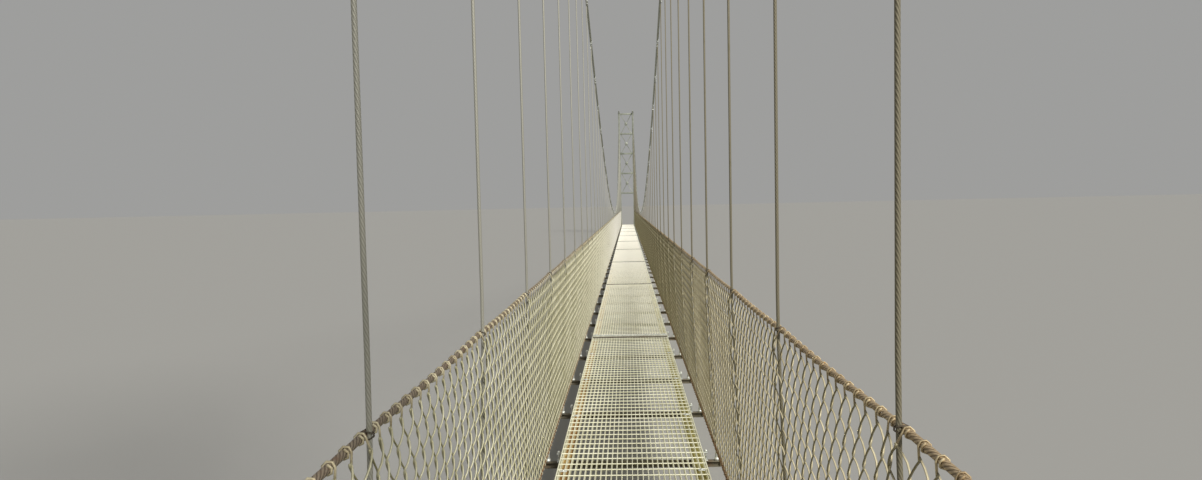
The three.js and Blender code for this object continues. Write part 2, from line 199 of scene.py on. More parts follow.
@dataclass(frozen=True)
class WeatheredSteel:
    """Steel that has stood in the rain: two tones in patches, stains that creep over them, fine grit.

    Sizes named mm are real ones. Painted light, a paler tone, comes in along Y over far_reach, and painted
    shade darkens the strands that the attribute shaded_half marks.
    """

    name: str
    pale: str
    dull: str
    stain: str
    stain_share: float
    patch_mm: float
    grit_mm: float
    roughness: float
    metallic: float
    bump_mm: float
    low_stain_height: float = 0.0
    far_light_tone: str = ""
    far_reach: tuple[float, float] = (0.0, 1.0)
    far_share: float = 0.85
    film: str = ""

    def material(self) -> Material:
        """Builds the finish.

        Returns:
            The material, patterned in Object coordinates.
        """
        material, shader = blank(self.name, self.roughness, self.metallic)
        tree = material.node_tree
        place = add(tree, "ShaderNodeTexCoord").outputs["Object"]
        patches = add(tree, "ShaderNodeTexNoise", {
            "Vector": place, "Scale": per_metre(self.patch_mm), "Detail": 6.0, "Roughness": 0.65})
        tones = add(tree, "ShaderNodeValToRGB", {"Fac": patches.outputs["Fac"]},
                    stops=((0.36, self.dull), (0.62, self.pale)))
        creep = add(tree, "ShaderNodeTexNoise", {
            "Vector": place, "Scale": per_metre(self.patch_mm * 2.7), "Detail": 9.0,
            "Roughness": 0.75, "Distortion": 0.6})
        share = creep.outputs["Fac"]
        if self.low_stain_height > 0:
            height = add(tree, "ShaderNodeSeparateXYZ", {"Vector": place}).outputs["Z"]
            fade = add(tree, "ShaderNodeMapRange", {
                "Value": height, "From Min": 0.0, "From Max": self.low_stain_height,
                "To Min": 0.22, "To Max": 0.0})
            share = add(tree, "ShaderNodeMath", {0: share, 1: fade.outputs["Result"]},
                        operation="ADD").outputs["Value"]
        edge = 0.72 - 0.42 * self.stain_share
        stained = add(tree, "ShaderNodeMapRange", {
            "Value": share, "From Min": edge, "From Max": edge + 0.16})
        colour = add(tree, "ShaderNodeMix", {
            0: stained.outputs["Result"], 6: tones.outputs["Color"], 7: linear(self.stain)},
            data_type="RGBA")
        # Painted light: a paler tone spreads along Y towards the far end
        if self.far_light_tone:
            along = add(tree, "ShaderNodeSeparateXYZ", {"Vector": place}).outputs["Y"]
            painted_far_light = add(tree, "ShaderNodeMapRange", {
                "Value": along, "From Min": self.far_reach[0], "From Max": self.far_reach[1],
                "To Max": self.far_share})
            colour = add(tree, "ShaderNodeMix", {
                0: painted_far_light.outputs["Result"], 6: colour.outputs[2], 7: linear(self.far_light_tone)},
                data_type="RGBA")
        # Painted shade: a darker tone on the strands that shaded_half marks
        if self.film:
            shaded = add(tree, "ShaderNodeAttribute", attribute_name="shaded_half").outputs["Fac"]
            colour = add(tree, "ShaderNodeMix", {
                0: shaded, 6: colour.outputs[2], 7: linear(self.film)}, data_type="RGBA")
        tree.links.new(colour.outputs[2], shader.inputs["Base Color"])
        grit = add(tree, "ShaderNodeTexNoise", {
            "Vector": place, "Scale": per_metre(self.grit_mm), "Detail": 4.0})
        rough = add(tree, "ShaderNodeMapRange", {
            "Value": grit.outputs["Fac"], "From Min": 0.3, "From Max": 0.7,
            "To Min": self.roughness - 0.12, "To Max": min(self.roughness + 0.14, 1.0)})
        tree.links.new(rough.outputs["Result"], shader.inputs["Roughness"])
        bump = add(tree, "ShaderNodeBump", {
            "Height": grit.outputs["Fac"], "Strength": 0.6,
            "Distance": self.bump_mm * MODEL_SCALE / 1000})
        tree.links.new(bump.outputs["Normal"], shader.inputs["Normal"])
        return material


@dataclass(frozen=True)
class StrandedRope:
    """Galvanised wire rope: six strands round a core, with painted shade where they meet, on the rope's own
    UV map.
    """

    name: str
    crown: str
    groove: str
    tarnish: str
    tarnish_share: float
    diameter: float
    roughness: float
    metallic: float
    relief: float = 0.22

    STRANDS = 6
    LAY_DIAMETERS = 6.5
    WIRES_A_STRAND = 5

    def material(self) -> Material:
        """Builds the finish.

        Returns:
            The material: u runs round the rope, v along it in metres.
        """
        material, shader = blank(self.name, self.roughness, self.metallic)
        tree = material.node_tree
        spot = add(tree, "ShaderNodeUVMap", uv_map="UVMap").outputs["UV"]
        parts = add(tree, "ShaderNodeSeparateXYZ", {"Vector": spot})
        lay = self.LAY_DIAMETERS * self.diameter
        heights = []
        # Strands first, then the finer wires in them, which slant the other way
        for turns, rise in ((self.STRANDS, self.STRANDS / lay),
                            (self.STRANDS * self.WIRES_A_STRAND, -2 * self.STRANDS / lay)):
            around = add(tree, "ShaderNodeMath", {0: parts.outputs["X"], 1: turns},
                         operation="MULTIPLY").outputs["Value"]
            along = add(tree, "ShaderNodeMath", {0: parts.outputs["Y"], 1: rise},
                        operation="MULTIPLY").outputs["Value"]
            phase = add(tree, "ShaderNodeMath", {0: around, 1: along}, operation="ADD").outputs["Value"]
            wave = add(tree, "ShaderNodeMath", {0: phase, 1: 0.5}, operation="PINGPONG").outputs["Value"]
            heights.append(wave)
        # Painted shade: the groove tone darkens the rope where the strands meet
        crowns = add(tree, "ShaderNodeValToRGB", {"Fac": heights[0]},
                     stops=((0.06, self.groove), (0.3, self.crown)))
        place = add(tree, "ShaderNodeTexCoord").outputs["Object"]
        blotch = add(tree, "ShaderNodeTexNoise", {
            "Vector": place, "Scale": per_metre(90), "Detail": 8.0, "Roughness": 0.7})
        edge = 0.7 - 0.4 * self.tarnish_share
        spread = add(tree, "ShaderNodeMapRange", {
            "Value": blotch.outputs["Fac"], "From Min": edge, "From Max": edge + 0.14})
        colour = add(tree, "ShaderNodeMix", {
            0: spread.outputs["Result"], 6: crowns.outputs["Color"], 7: linear(self.tarnish)},
            data_type="RGBA")
        tree.links.new(colour.outputs[2], shader.inputs["Base Color"])
        fine = add(tree, "ShaderNodeMath", {0: heights[1], 1: 0.18}, operation="MULTIPLY").outputs["Value"]
        relief = add(tree, "ShaderNodeMath", {0: heights[0], 1: fine}, operation="ADD").outputs["Value"]
        bump = add(tree, "ShaderNodeBump", {
            "Height": relief, "Strength": 0.9, "Distance": self.diameter * self.relief})
        tree.links.new(bump.outputs["Normal"], shader.inputs["Normal"])
        return material


@dataclass(frozen=True)
class CastConcrete:
    """Concrete cast against boards: pale cement, board joints, pores, algae near the ground and on tops."""

    name: str = "board_formed_concrete"
    pale: str = "b3b0a2"
    dull: str = "8a877a"
    algae: str = "6f7350"
    cloud_mm: float = 420.0
    board_mm: float = 160.0
    pore_mm: float = 28.0
    grain_mm: float = 9.0
    damp_height: float = 0.22
    relief: float = 0.0015

    def material(self) -> Material:
        """Builds the finish.

        Returns:
            The material, patterned in Object coordinates.
        """
        material, shader = blank(self.name, 0.92, 0.0)
        tree = material.node_tree
        place = add(tree, "ShaderNodeTexCoord").outputs["Object"]
        cloud = add(tree, "ShaderNodeTexNoise", {
            "Vector": place, "Scale": per_metre(self.cloud_mm), "Detail": 9.0, "Roughness": 0.7})
        tones = add(tree, "ShaderNodeValToRGB", {"Fac": cloud.outputs["Fac"]},
                    stops=((0.34, self.dull), (0.66, self.pale)))
        axes = add(tree, "ShaderNodeSeparateXYZ", {"Vector": place})
        boards = add(tree, "ShaderNodeMath", {0: axes.outputs["Z"], 1: per_metre(self.board_mm)},
                     operation="MULTIPLY").outputs["Value"]
        joint = add(tree, "ShaderNodeMath", {0: boards, 1: 0.5}, operation="PINGPONG").outputs["Value"]
        seam = add(tree, "ShaderNodeMapRange", {"Value": joint, "From Max": 0.05})
        damp = add(tree, "ShaderNodeMapRange", {
            "Value": axes.outputs["Z"], "From Max": self.damp_height, "To Min": 0.3, "To Max": 0.0})
        wet = add(tree, "ShaderNodeMath", {0: cloud.outputs["Fac"], 1: damp.outputs["Result"]},
                  operation="ADD").outputs["Value"]
        share = add(tree, "ShaderNodeMapRange", {
            "Value": wet, "From Min": 0.55, "From Max": 0.85, "To Max": 0.8})
        colour = add(tree, "ShaderNodeMix", {
            0: share.outputs["Result"], 6: tones.outputs["Color"], 7: linear(self.algae)},
            data_type="RGBA")
        tree.links.new(colour.outputs[2], shader.inputs["Base Color"])
        pores = add(tree, "ShaderNodeTexVoronoi", {"Vector": place, "Scale": per_metre(self.pore_mm)})
        pits = add(tree, "ShaderNodeMapRange", {
            "Value": pores.outputs["Distance"], "From Min": 0.04, "From Max": 0.2})
        faces = add(tree, "ShaderNodeMath", {0: pits.outputs["Result"], 1: seam.outputs["Result"]},
                    operation="MULTIPLY").outputs["Value"]
        grain = add(tree, "ShaderNodeTexNoise", {
            "Vector": place, "Scale": per_metre(self.grain_mm), "Detail": 5.0})
        relief = add(tree, "ShaderNodeMath", {0: faces, 1: grain.outputs["Fac"]},
                     operation="ADD").outputs["Value"]
        bump = add(tree, "ShaderNodeBump", {"Height": relief, "Strength": 0.7, "Distance": self.relief})
        tree.links.new(bump.outputs["Normal"], shader.inputs["Normal"])
        return material


@dataclass(frozen=True)
class Finishes:
    """Every finish of the bridge, built once."""

    # Hot-dip grating gone cream, with yellow-green growth in patches and painted light that pales it
    # towards the far end
    grating: WeatheredSteel = WeatheredSteel(
        "hot_dip_bar_grating", "f6f5de", "e3e1c4", "c5be84", 0.24, 240, 6, 0.5, 0.2, 0.3,
        far_light_tone="fdfbf1", far_reach=(-12.0, -5.0))
    # Rolled channel under the left edge: mill scale turned to orange-tan rust
    left_stringer: WeatheredSteel = WeatheredSteel(
        "rusted_rolled_channel", "d3b377", "a8794a", "8d5a33", 0.45, 180, 5, 0.8, 0.1, 0.5)
    # Rolled channel under the right edge: zinc primer gone yellow-cream
    right_stringer: WeatheredSteel = WeatheredSteel(
        "primed_rolled_channel", "d9cf8e", "a99f5f", "97703c", 0.32, 180, 5, 0.75, 0.1, 0.5)
    # Crossbeams: damp brown-grey steel, darker than the deck above
    crossbeam: WeatheredSteel = WeatheredSteel(
        "damp_rolled_steel", "7b7566", "55503f", "6a4a2c", 0.4, 150, 5, 0.72, 0.25, 0.5)
    # Left fence wire: zinc gone chalky and, as painted light, paler than the right fence and nearly white
    # towards the far end, with painted shade on the strands turned from the key light
    left_wire: WeatheredSteel = WeatheredSteel(
        "chalky_painted_light_wire", "dad7bb", "b4b08e", "959166", 0.26, 130, 4, 0.5, 0.3, 0.15,
        far_light_tone="f4f2ec", far_reach=(-12.5, 0.0), film="a29e7c")
    # Right fence wire: zinc gone cream-yellow and, as painted shade, darker than the left fence, paler
    # towards the far end as painted light, with painted shade on the strands turned from the key light
    right_wire: WeatheredSteel = WeatheredSteel(
        "yellow_painted_shade_wire", "d0c7a8", "a99f81", "7f774e", 0.32, 130, 4, 0.5, 0.3, 0.15,
        far_light_tone="e6dfba", far_reach=(-12.5, 0.0), film="837b5c")
    # Wire ends wound round the ropes: cream like the fence, browning in patches
    hook_wire: WeatheredSteel = WeatheredSteel(
        "wound_wire_ends", "d8d0b2", "b0a384", "8d6a4a", 0.3, 60, 4, 0.55, 0.3, 0.15)
    # Wire ends on the right: browner, like the rope they hold
    right_hook_wire: WeatheredSteel = WeatheredSteel(
        "browned_wire_ends", "ccbc98", "a18c6b", "80603f", 0.34, 60, 4, 0.6, 0.25, 0.15)
    # Ties at the hangers: annealed wire gone dark
    tie_wire: WeatheredSteel = WeatheredSteel(
        "annealed_tie_wire", "61574a", "413a31", "6b4529", 0.4, 40, 4, 0.7, 0.3, 0.15)
    # Tower sections: hot-dip zinc, dull grey-green
    tower: WeatheredSteel = WeatheredSteel(
        "hot_dip_structural_steel", "a3a79b", "7d8275", "6f7250", 0.28, 320, 7, 0.55, 0.5, 0.3, 0.5)
    # Saddles, sockets and yokes: sand-cast steel with a coarse skin
    casting: WeatheredSteel = WeatheredSteel(
        "sand_cast_steel", "85867d", "5d5e56", "6d4c31", 0.3, 90, 3, 0.65, 0.55, 0.9)
    # Clips, nuts and bands: fresh zinc, the brightest metal on the bridge
    bright: WeatheredSteel = WeatheredSteel(
        "zinc_plated_fastener", "ecefe9", "c6cac4", "a8a386", 0.18, 30, 3, 0.4, 0.5, 0.1)
    # Main cables: grey zinc rope, lighter than the hangers
    main_rope: StrandedRope = StrandedRope(
        "galvanised_main_rope", "bdc0b2", "77786a", "8f8266", 0.3, 0.016, 0.5, 0.5)
    # Left hangers: smooth mid grey with little contrast in the lay
    left_hanger: StrandedRope = StrandedRope(
        "galvanised_hanger_rope", "a8a79c", "8e8d82", "918f7c", 0.22, 0.006, 0.6, 0.3, 0.09)
    # Right hangers: the same rope painted darker and olive-brown, as painted shade
    right_hanger: StrandedRope = StrandedRope(
        "painted_shade_hanger_rope", "837d68", "6a6453", "706b51", 0.35, 0.006, 0.65, 0.2, 0.12)
    # Rail rope: grey-tan between the pale hooks, browner in stretches
    rail_rope: StrandedRope = StrandedRope(
        "weathered_rail_rope", "908371", "5c5041", "745d4a", 0.45, 0.008, 0.65, 0.2)
    # Rail rope on the right: tan where the zinc has gone, and painted lighter than the left rope as painted
    # light
    right_rail_rope: StrandedRope = StrandedRope(
        "tan_painted_light_rail_rope", "bda887", "75624a", "98805c", 0.42, 0.008, 0.7, 0.15)
    # Foot rope: wet more often, so rust-brown
    foot_rope: StrandedRope = StrandedRope(
        "rusted_foot_rope", "9a7a58", "523d2a", "7a5233", 0.5, 0.008, 0.75, 0.2)
    concrete: CastConcrete = CastConcrete()


# Modelling helpers


class Bench:
    """Modelling moves that the sub-assemblies share, done on one picked object at a time."""

    # A bar's rims turn by about 90 degrees and its sides by 60 at most, on a nut
    RIM_DEGREES = 62

    @staticmethod
    def pick(*things: Piece) -> None:
        """Selects only these objects and makes the first one active."""
        bpy.ops.object.select_all(action="DESELECT")
        for thing in things:
            thing.select_set(True)
        bpy.context.view_layer.objects.active = things[0]

    @staticmethod
    @contextmanager
    def editing(thing: Piece) -> Iterator[None]:
        """Opens an object in edit mode with face selection, and closes it again.

        Args:
            thing: the object to edit.
        """
        Bench.pick(thing)
        bpy.context.tool_settings.mesh_select_mode = (False, False, True)
        bpy.ops.object.mode_set(mode="EDIT")
        yield
        bpy.ops.object.mode_set(mode="OBJECT")

    @staticmethod
    def settle(thing: Piece) -> Piece:
        """Moves an object's place, turn and scale into its mesh.

        Args:
            thing: the object.

        Returns:
            The same object, at the origin.
        """
        Bench.pick(thing)
        bpy.ops.object.transform_apply(location=True, rotation=True, scale=True)
        return thing

    @staticmethod
    def finish(thing: Piece, kind: str, **settings: object) -> Piece:
        """Adds a modifier, sets it and applies it.

        Args:
            thing: the object.
            kind: the modifier's type.
            settings: its properties.

        Returns:
            The same object.
        """
        Bench.pick(thing)
        modifier = thing.modifiers.new(kind.lower(), kind)
        for name, value in settings.items():
            setattr(modifier, name, value)
        bpy.ops.object.modifier_apply(modifier=modifier.name)
        return thing

    @staticmethod
    def ease(thing: Piece, width: float, degrees: float = 30, segments: int = 1) -> Piece:
        """Eases an object's edges, where a width is given.

        Args:
            thing: the object.
            width: width of the eased edges, or 0 to leave them sharp.
            degrees: the least angle between two faces that counts as an edge.
            segments: how many faces an eased edge has.

        Returns:
            The same object.
        """
        if width > 0:
            Bench.finish(thing, "BEVEL", width=width, segments=segments, limit_method="ANGLE",
                         angle_limit=math.radians(degrees))
        return thing

    @staticmethod
    def row(thing: Piece, count: int, step: Triple) -> Piece:
        """Repeats an object in a straight row.

        Args:
            thing: the object.
            count: how many the row has.
            step: from each one to the next.

        Returns:
            The same object.
        """
        return Bench.finish(thing, "ARRAY", count=count, use_relative_offset=False,
                            use_constant_offset=True, constant_offset_displace=step)

    @staticmethod
    def block(name: str, low: Sequence[float], high: Sequence[float], bevel: float = 0.0,
              at: Triple = (0, 0, 0)) -> Piece:
        """Makes a block between two corners, with its edges eased.

        Args:
            name: the object's name.
            low: lowest corner.
            high: highest corner.
            bevel: width of the eased edges, or 0 for sharp ones.
            at: the place that both corners are measured from.

        Returns:
            The block, its place in its mesh.
        """
        low, high = (Vector([part + shift for part, shift in zip(corner, at)]) for corner in (low, high))
        bpy.ops.object.select_all(action="DESELECT")
        bpy.ops.mesh.primitive_cube_add(size=1.0, location=(low + high) / 2)
        made = bpy.context.active_object
        made.name = name
        made.scale = high - low
        return Bench.ease(Bench.settle(made), bevel)

    @staticmethod
    def round_bar(name: str, start: Sequence[float], end: Sequence[float], radius: float,
                  sides: int, end_radius: float | None = None, bevel: float = 0.0) -> Piece:
        """Makes a round, hexagonal or tapered bar between two points.

        Args:
            name: the object's name.
            start: centre of its first end.
            end: centre of its other end.
            radius: radius at the first end.
            sides: how many sides it has.
            end_radius: radius at the other end, where it tapers.
            bevel: width of the eased rims, or 0 for sharp ones.

        Returns:
            The bar, its place in its mesh.
        """
        run = Vector(end) - Vector(start)
        bpy.ops.object.select_all(action="DESELECT")
        bpy.ops.mesh.primitive_cone_add(
            vertices=sides, radius1=radius, radius2=radius if end_radius is None else end_radius,
            depth=run.length, location=(Vector(start) + Vector(end)) / 2,
            rotation=run.to_track_quat("Z", "Y").to_euler())
        made = bpy.context.active_object
        made.name = name
        return Bench.ease(Bench.settle(made), bevel, Bench.RIM_DEGREES)

    @staticmethod
    def pocket(thing: Piece, look: Triple, wall: float, depth: float) -> Piece:
        """Sinks the face that looks one way, and leaves a wall round it.

        Args:
            thing: a block.
            look: the way the face looks.
            wall: width of the wall left at its edges.
            depth: how far the face goes in.

        Returns:
            The same object.
        """
        way = Vector(look)
        for face in thing.data.polygons:
            face.select = face.normal.dot(way) > 0.9
        with Bench.editing(thing):
            bpy.ops.mesh.inset(thickness=wall)
            bpy.ops.mesh.extrude_region_move(
                TRANSFORM_OT_translate={"value": tuple(-depth * way)})
        return thing

    @staticmethod
    def join(name: str, parts: Sequence[Piece]) -> Piece:
        """Joins objects into one, keeping their finishes.

        Args:
            name: the joined object's name.
            parts: the objects.

        Returns:
            The joined object.
        """
        Bench.pick(*parts)
        if len(parts) > 1:
            bpy.ops.object.join()
        joined = bpy.context.active_object
        joined.name = name
        joined.data.name = name
        return joined

    @staticmethod
    def paint(thing: Piece, material: Material) -> Piece:
        """Gives an object one finish all over.

        Args:
            thing: the object.
            material: the finish.

        Returns:
            The same object.
        """
        thing.data.materials.clear()
        thing.data.materials.append(material)
        return thing

    @staticmethod
    def paint_all(things: Iterable[Piece], material: Material) -> list[Piece]:
        """Gives several objects one finish, and returns them."""
        return [Bench.paint(thing, material) for thing in things]

    @staticmethod
    def smooth(thing: Piece, degrees: float) -> Piece:
        """Shades an object smooth, apart from edges sharper than an angle.

        Args:
            thing: the object.
            degrees: the angle.

        Returns:
            The same object.
        """
        Bench.pick(thing)
        bpy.ops.object.shade_smooth_by_angle(angle=math.radians(degrees))
        return thing

    @staticmethod
    def cad_copy(name: str, node: str, bevel: float) -> Piece:
        """Copies a CAD node, joins its loose triangles into plain faces and eases its edges.

        Args:
            name: the copy's name.
            node: the node.
            bevel: width of the eased edges.

        Returns:
            The copy.
        """
        made = bpy.data.objects.new(name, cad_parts[node].data.copy())
        bpy.context.scene.collection.objects.link(made)
        for face in made.data.polygons:
            face.select = True
        with Bench.editing(made):
            bpy.ops.mesh.remove_doubles(threshold=0.00005)
            bpy.ops.mesh.dissolve_limited(angle_limit=math.radians(1))
        return Bench.smooth(Bench.ease(made, bevel, 40, 2), 30)


def mesh_from(name: str, points: np.ndarray, faces: Sequence[np.ndarray]) -> Piece:
    """Makes an object from arrays of points and faces.

    Args:
        name: the object's name.
        points: an array of shape (points, 3).
        faces: arrays of shape (faces, corners), one for each number of corners.

    Returns:
        The new object.
    """
    mesh = bpy.data.meshes.new(name)
    corners = np.concatenate([group.ravel() for group in faces])
    sizes = np.concatenate([np.full(len(group), group.shape[1]) for group in faces])
    mesh.vertices.add(len(points))
    mesh.vertices.foreach_set("co", np.ascontiguousarray(points, np.float32).ravel())
    mesh.loops.add(len(corners))
    mesh.loops.foreach_set("vertex_index", corners.astype(np.int32))
    mesh.polygons.add(len(sizes))
    mesh.polygons.foreach_set("loop_start", np.concatenate([[0], np.cumsum(sizes)[:-1]]).astype(np.int32))
    mesh.update(calc_edges=True)
    mesh.validate()
    made = bpy.data.objects.new(name, mesh)
    bpy.context.scene.collection.objects.link(made)
    return made


def swept(name: str, paths: np.ndarray, radius: float, sides: int, across: Triple) -> Piece:
    """Sweeps a round wire or rope along paths, with capped ends and a UV map that follows it.

    A rope's lay needs a map in metres, which a bevelled curve doesn't give, so the rings are set here.

    Args:
        name: the object's name.
        paths: an array of shape (wires, points, 3).
        radius: the wire's radius.
        sides: how many sides each ring has.
        across: a way that no path runs along, which keeps the rings from twisting.

    Returns:
        The new object, smooth, with u round each wire and v along it in metres.
    """
    wires, steps, _ = paths.shape
    tangent = np.gradient(paths, axis=1)
    tangent /= np.linalg.norm(tangent, axis=2, keepdims=True)
    first = np.cross(np.array(across, float), tangent)
    first /= np.linalg.norm(first, axis=2, keepdims=True)
    second = np.cross(tangent, first)
    angles = 2 * np.pi * np.arange(sides) / sides
    ring = (np.cos(angles)[:, None] * first[:, :, None, :]
            + np.sin(angles)[:, None] * second[:, :, None, :])
    points = paths[:, :, None, :] + radius * ring

    index = np.arange(wires * steps * sides).reshape(wires, steps, sides)
    here, there = index[:, :-1, :], index[:, 1:, :]
    quads = np.stack([here, np.roll(here, -1, 2), np.roll(there, -1, 2), there], -1).reshape(-1, 4)
    caps = np.concatenate([index[:, 0, ::-1], index[:, -1, :]])
    made = mesh_from(name, points.reshape(-1, 3), [quads, caps])

    length = np.zeros((wires, steps))
    length[:, 1:] = np.cumsum(np.linalg.norm(np.diff(paths, axis=1), axis=2), axis=1)
    turn = np.arange(sides) / sides
    u = np.broadcast_to(np.stack([turn, turn + 1 / sides, turn + 1 / sides, turn], -1),
                        (wires, steps - 1, sides, 4))
    v = np.stack([length[:, :-1], length[:, :-1], length[:, 1:], length[:, 1:]], -1)
    v = np.broadcast_to(v[:, :, None, :], u.shape)
    body = np.stack([u, v], -1).reshape(-1, 2)
    layer = made.data.uv_layers.new(name="UVMap")
    values = np.zeros((len(made.data.loops), 2), np.float32)
    values[:len(body)] = body
    layer.data.foreach_set("uv", values.ravel())
    made.data.polygons.foreach_set("use_smooth", np.ones(len(made.data.polygons), bool))
    return made


def stamped(name: str, pattern: Piece, places: Iterable[Matrix]) -> Piece:
    """Copies one small part to many places, as one mesh, and removes the pattern.

    Args:
        name: the new object's name.
        pattern: the part, modelled round the origin.
        places: where each copy goes.

    Returns:
        The joined copies, with the pattern's finishes.
    """
    source = pattern.data
    count = len(source.vertices)
    points = np.zeros(count * 3, np.float32)
    source.vertices.foreach_get("co", points)
    points = np.concatenate([points.reshape(-1, 3), np.ones((count, 1), np.float32)], 1)
    spots = np.array([np.array(place) for place in places])
    moved = np.einsum("nij,vj->nvi", spots, points)[:, :, :3]
    groups, finishes = [], []
    for corners in sorted({len(face.vertices) for face in source.polygons}):
        chosen = [face for face in source.polygons if len(face.vertices) == corners]
        faces = np.array([list(face.vertices) for face in chosen])
        shift = (np.arange(len(spots)) * count)[:, None, None]
        groups.append((faces[None] + shift).reshape(-1, corners))
        finishes.append(np.tile([face.material_index for face in chosen], len(spots)))
    made = mesh_from(name, moved.reshape(-1, 3), groups)
    for material in source.materials:
        made.data.materials.append(material)
    made.data.polygons.foreach_set("material_index", np.concatenate(finishes).astype(np.int32))
    bpy.data.objects.remove(pattern)
    return made


def hand_over(piece: Piece, slot: Slot, *nodes: str) -> Piece:
    """Fixes a finished piece to the bridge, hides the CAD nodes that it replaces and logs its triangles.

    Args:
        piece: the piece, its place in its mesh.
        slot: the record's material slot; not used.
        nodes: CAD nodes that it replaces.

    Returns:
        The same piece.
    """
    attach(piece, "root")
    if nodes:
        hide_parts(*nodes)
    piece.data.calc_loop_triangles()
    LOG.info("%s: %d triangles", piece.name, len(piece.data.loop_triangles))
    return piece


# The bridge's own geometry


@dataclass(frozen=True)
class Span:
    """Driving sizes of the span, and where its ropes run."""

    bay: float = 0.6
    bays: int = 51
    deck_top: float = 0.3
    cable_low: float = 0.925
    cable_sag: float = 3.8
    cable_radius: float = 0.008
    cable_x_low: float = 0.252
    cable_x_tower: float = 0.2655
    saddle_reach: float = 0.075
    stay_angle: float = math.radians(47)
    anchor_x: float = 0.475
    anchor_z: float = 0.345
    fitting_length: float = 0.5753
    rail_x: float = 0.2595
    rail_z: float = 0.85
    rail_sag: float = 0.003
    rail_radius: float = 0.004
    mesh_top_x: float = 0.2485
    foot_x: float = 0.2685
    foot_z: float = 0.285
    hanger_radius: float = 0.003
    hanger_foot_x: float = 0.276
    hanger_foot_z: float = 0.2305
    hanger_knee_x: float = 0.2535
    rope_end: float = 15.2672
    end_crossbeam: float = 15.19

    @property
    def half(self) -> float:
        """Distance from mid-span to a tower."""
        return self.bay * self.bays / 2

    @property
    def curve(self) -> float:
        """The cable parabola's factor."""
        return self.cable_sag / self.half ** 2

    @property
    def end_angle(self) -> float:
        """The cable's slope where it meets the saddle."""
        return math.atan(2 * self.curve * (self.half - self.saddle_reach))

    @property
    def saddle_radius(self) -> float:
        """Radius of the cable's bend over the saddle."""
        return self.saddle_reach / math.sin(self.end_angle)

    @property
    def apex_z(self) -> float:
        """Height of the cable's top."""
        level = self.cable_z(self.half - self.saddle_reach)
        return level + self.saddle_radius * (1 - math.cos(self.end_angle))

    def line(self, bays: float) -> float:
        """Y of a bay line, counted from the near tower."""
        return -self.half + bays * self.bay

    def cable_z(self, y: float) -> float:
        """Height of the main cable's centre in the span."""
        return self.cable_low + self.curve * y * y

    def cable_x(self, z: float) -> float:
        """Distance of the main cable's centre from the middle, at its height."""
        share = (z - self.rail_z) / (self.apex_z - self.rail_z)
        return self.cable_x_low + (self.cable_x_tower - self.cable_x_low) * share

    def rail_height(self, y: np.ndarray) -> np.ndarray:
        """Heights of the rail rope, which hangs a little between its ties.

        Args:
            y: places along the deck.

        Returns:
            The rope's centre heights.
        """
        part = np.mod((y + self.half) / self.bay, 1.0)
        return self.rail_z - 4 * self.rail_sag * part * (1 - part)

    def on_saddle(self, angle: float) -> Triple:
        """Where the right-hand near cable lies on its saddle, by the angle from the top."""
        return (self.cable_x_tower, -self.half + self.saddle_radius * math.sin(angle),
                self.apex_z - self.saddle_radius * (1 - math.cos(angle)))

    def anchor(self) -> Vector:
        """Follows the right-hand near backstay down from the saddle.

        Returns:
            The anchor point, on the concrete's cut face.
        """
        _, top_y, top_z = self.on_saddle(-self.stay_angle)
        y = top_y - (top_z - self.anchor_z) / math.tan(self.stay_angle)
        return Vector((self.anchor_x, y, self.anchor_z))

    def stay(self) -> Vector:
        """Direction of the right-hand near backstay, up from its anchor."""
        return (Vector(self.on_saddle(-self.stay_angle)) - self.anchor()).normalized()


@dataclass
class MainCable:
    """One main cable, whole from anchor to anchor over both saddles."""

    span: Span
    finish: Material
    sides: int = 12
    saddle_steps: int = 12

    def path(self, side: Side) -> np.ndarray:
        """Traces the cable's centreline.

        Args:
            side: which cable.

        Returns:
            Points from the near anchor fitting to the far one.
        """
        span = self.span
        points = [tuple(span.anchor() + span.fitting_length * span.stay())]
        for angle in np.linspace(-span.stay_angle, span.end_angle, self.saddle_steps + 1):
            points.append(span.on_saddle(angle))
        for half_bays in range(1, span.bays):
            y = span.line(half_bays / 2)
            if y > -span.half + 2 * span.saddle_reach:
                z = span.cable_z(y)
                points.append((span.cable_x(z), y, z))
        near = np.array(points)
        far = near[::-1] * np.array([1, -1, 1])
        return np.concatenate([near, far]) * side.mirror

    def build(self) -> None:
        """Makes both cables."""
        for side in Side:
            rope = swept(f"{side.label}_main_rope", self.path(side)[None], self.span.cable_radius,
                         self.sides, (1, 0, 0))
            hand_over(Bench.paint(rope, self.finish), Slot.MAIN_ROPE, f"{side.label}_main_cable")


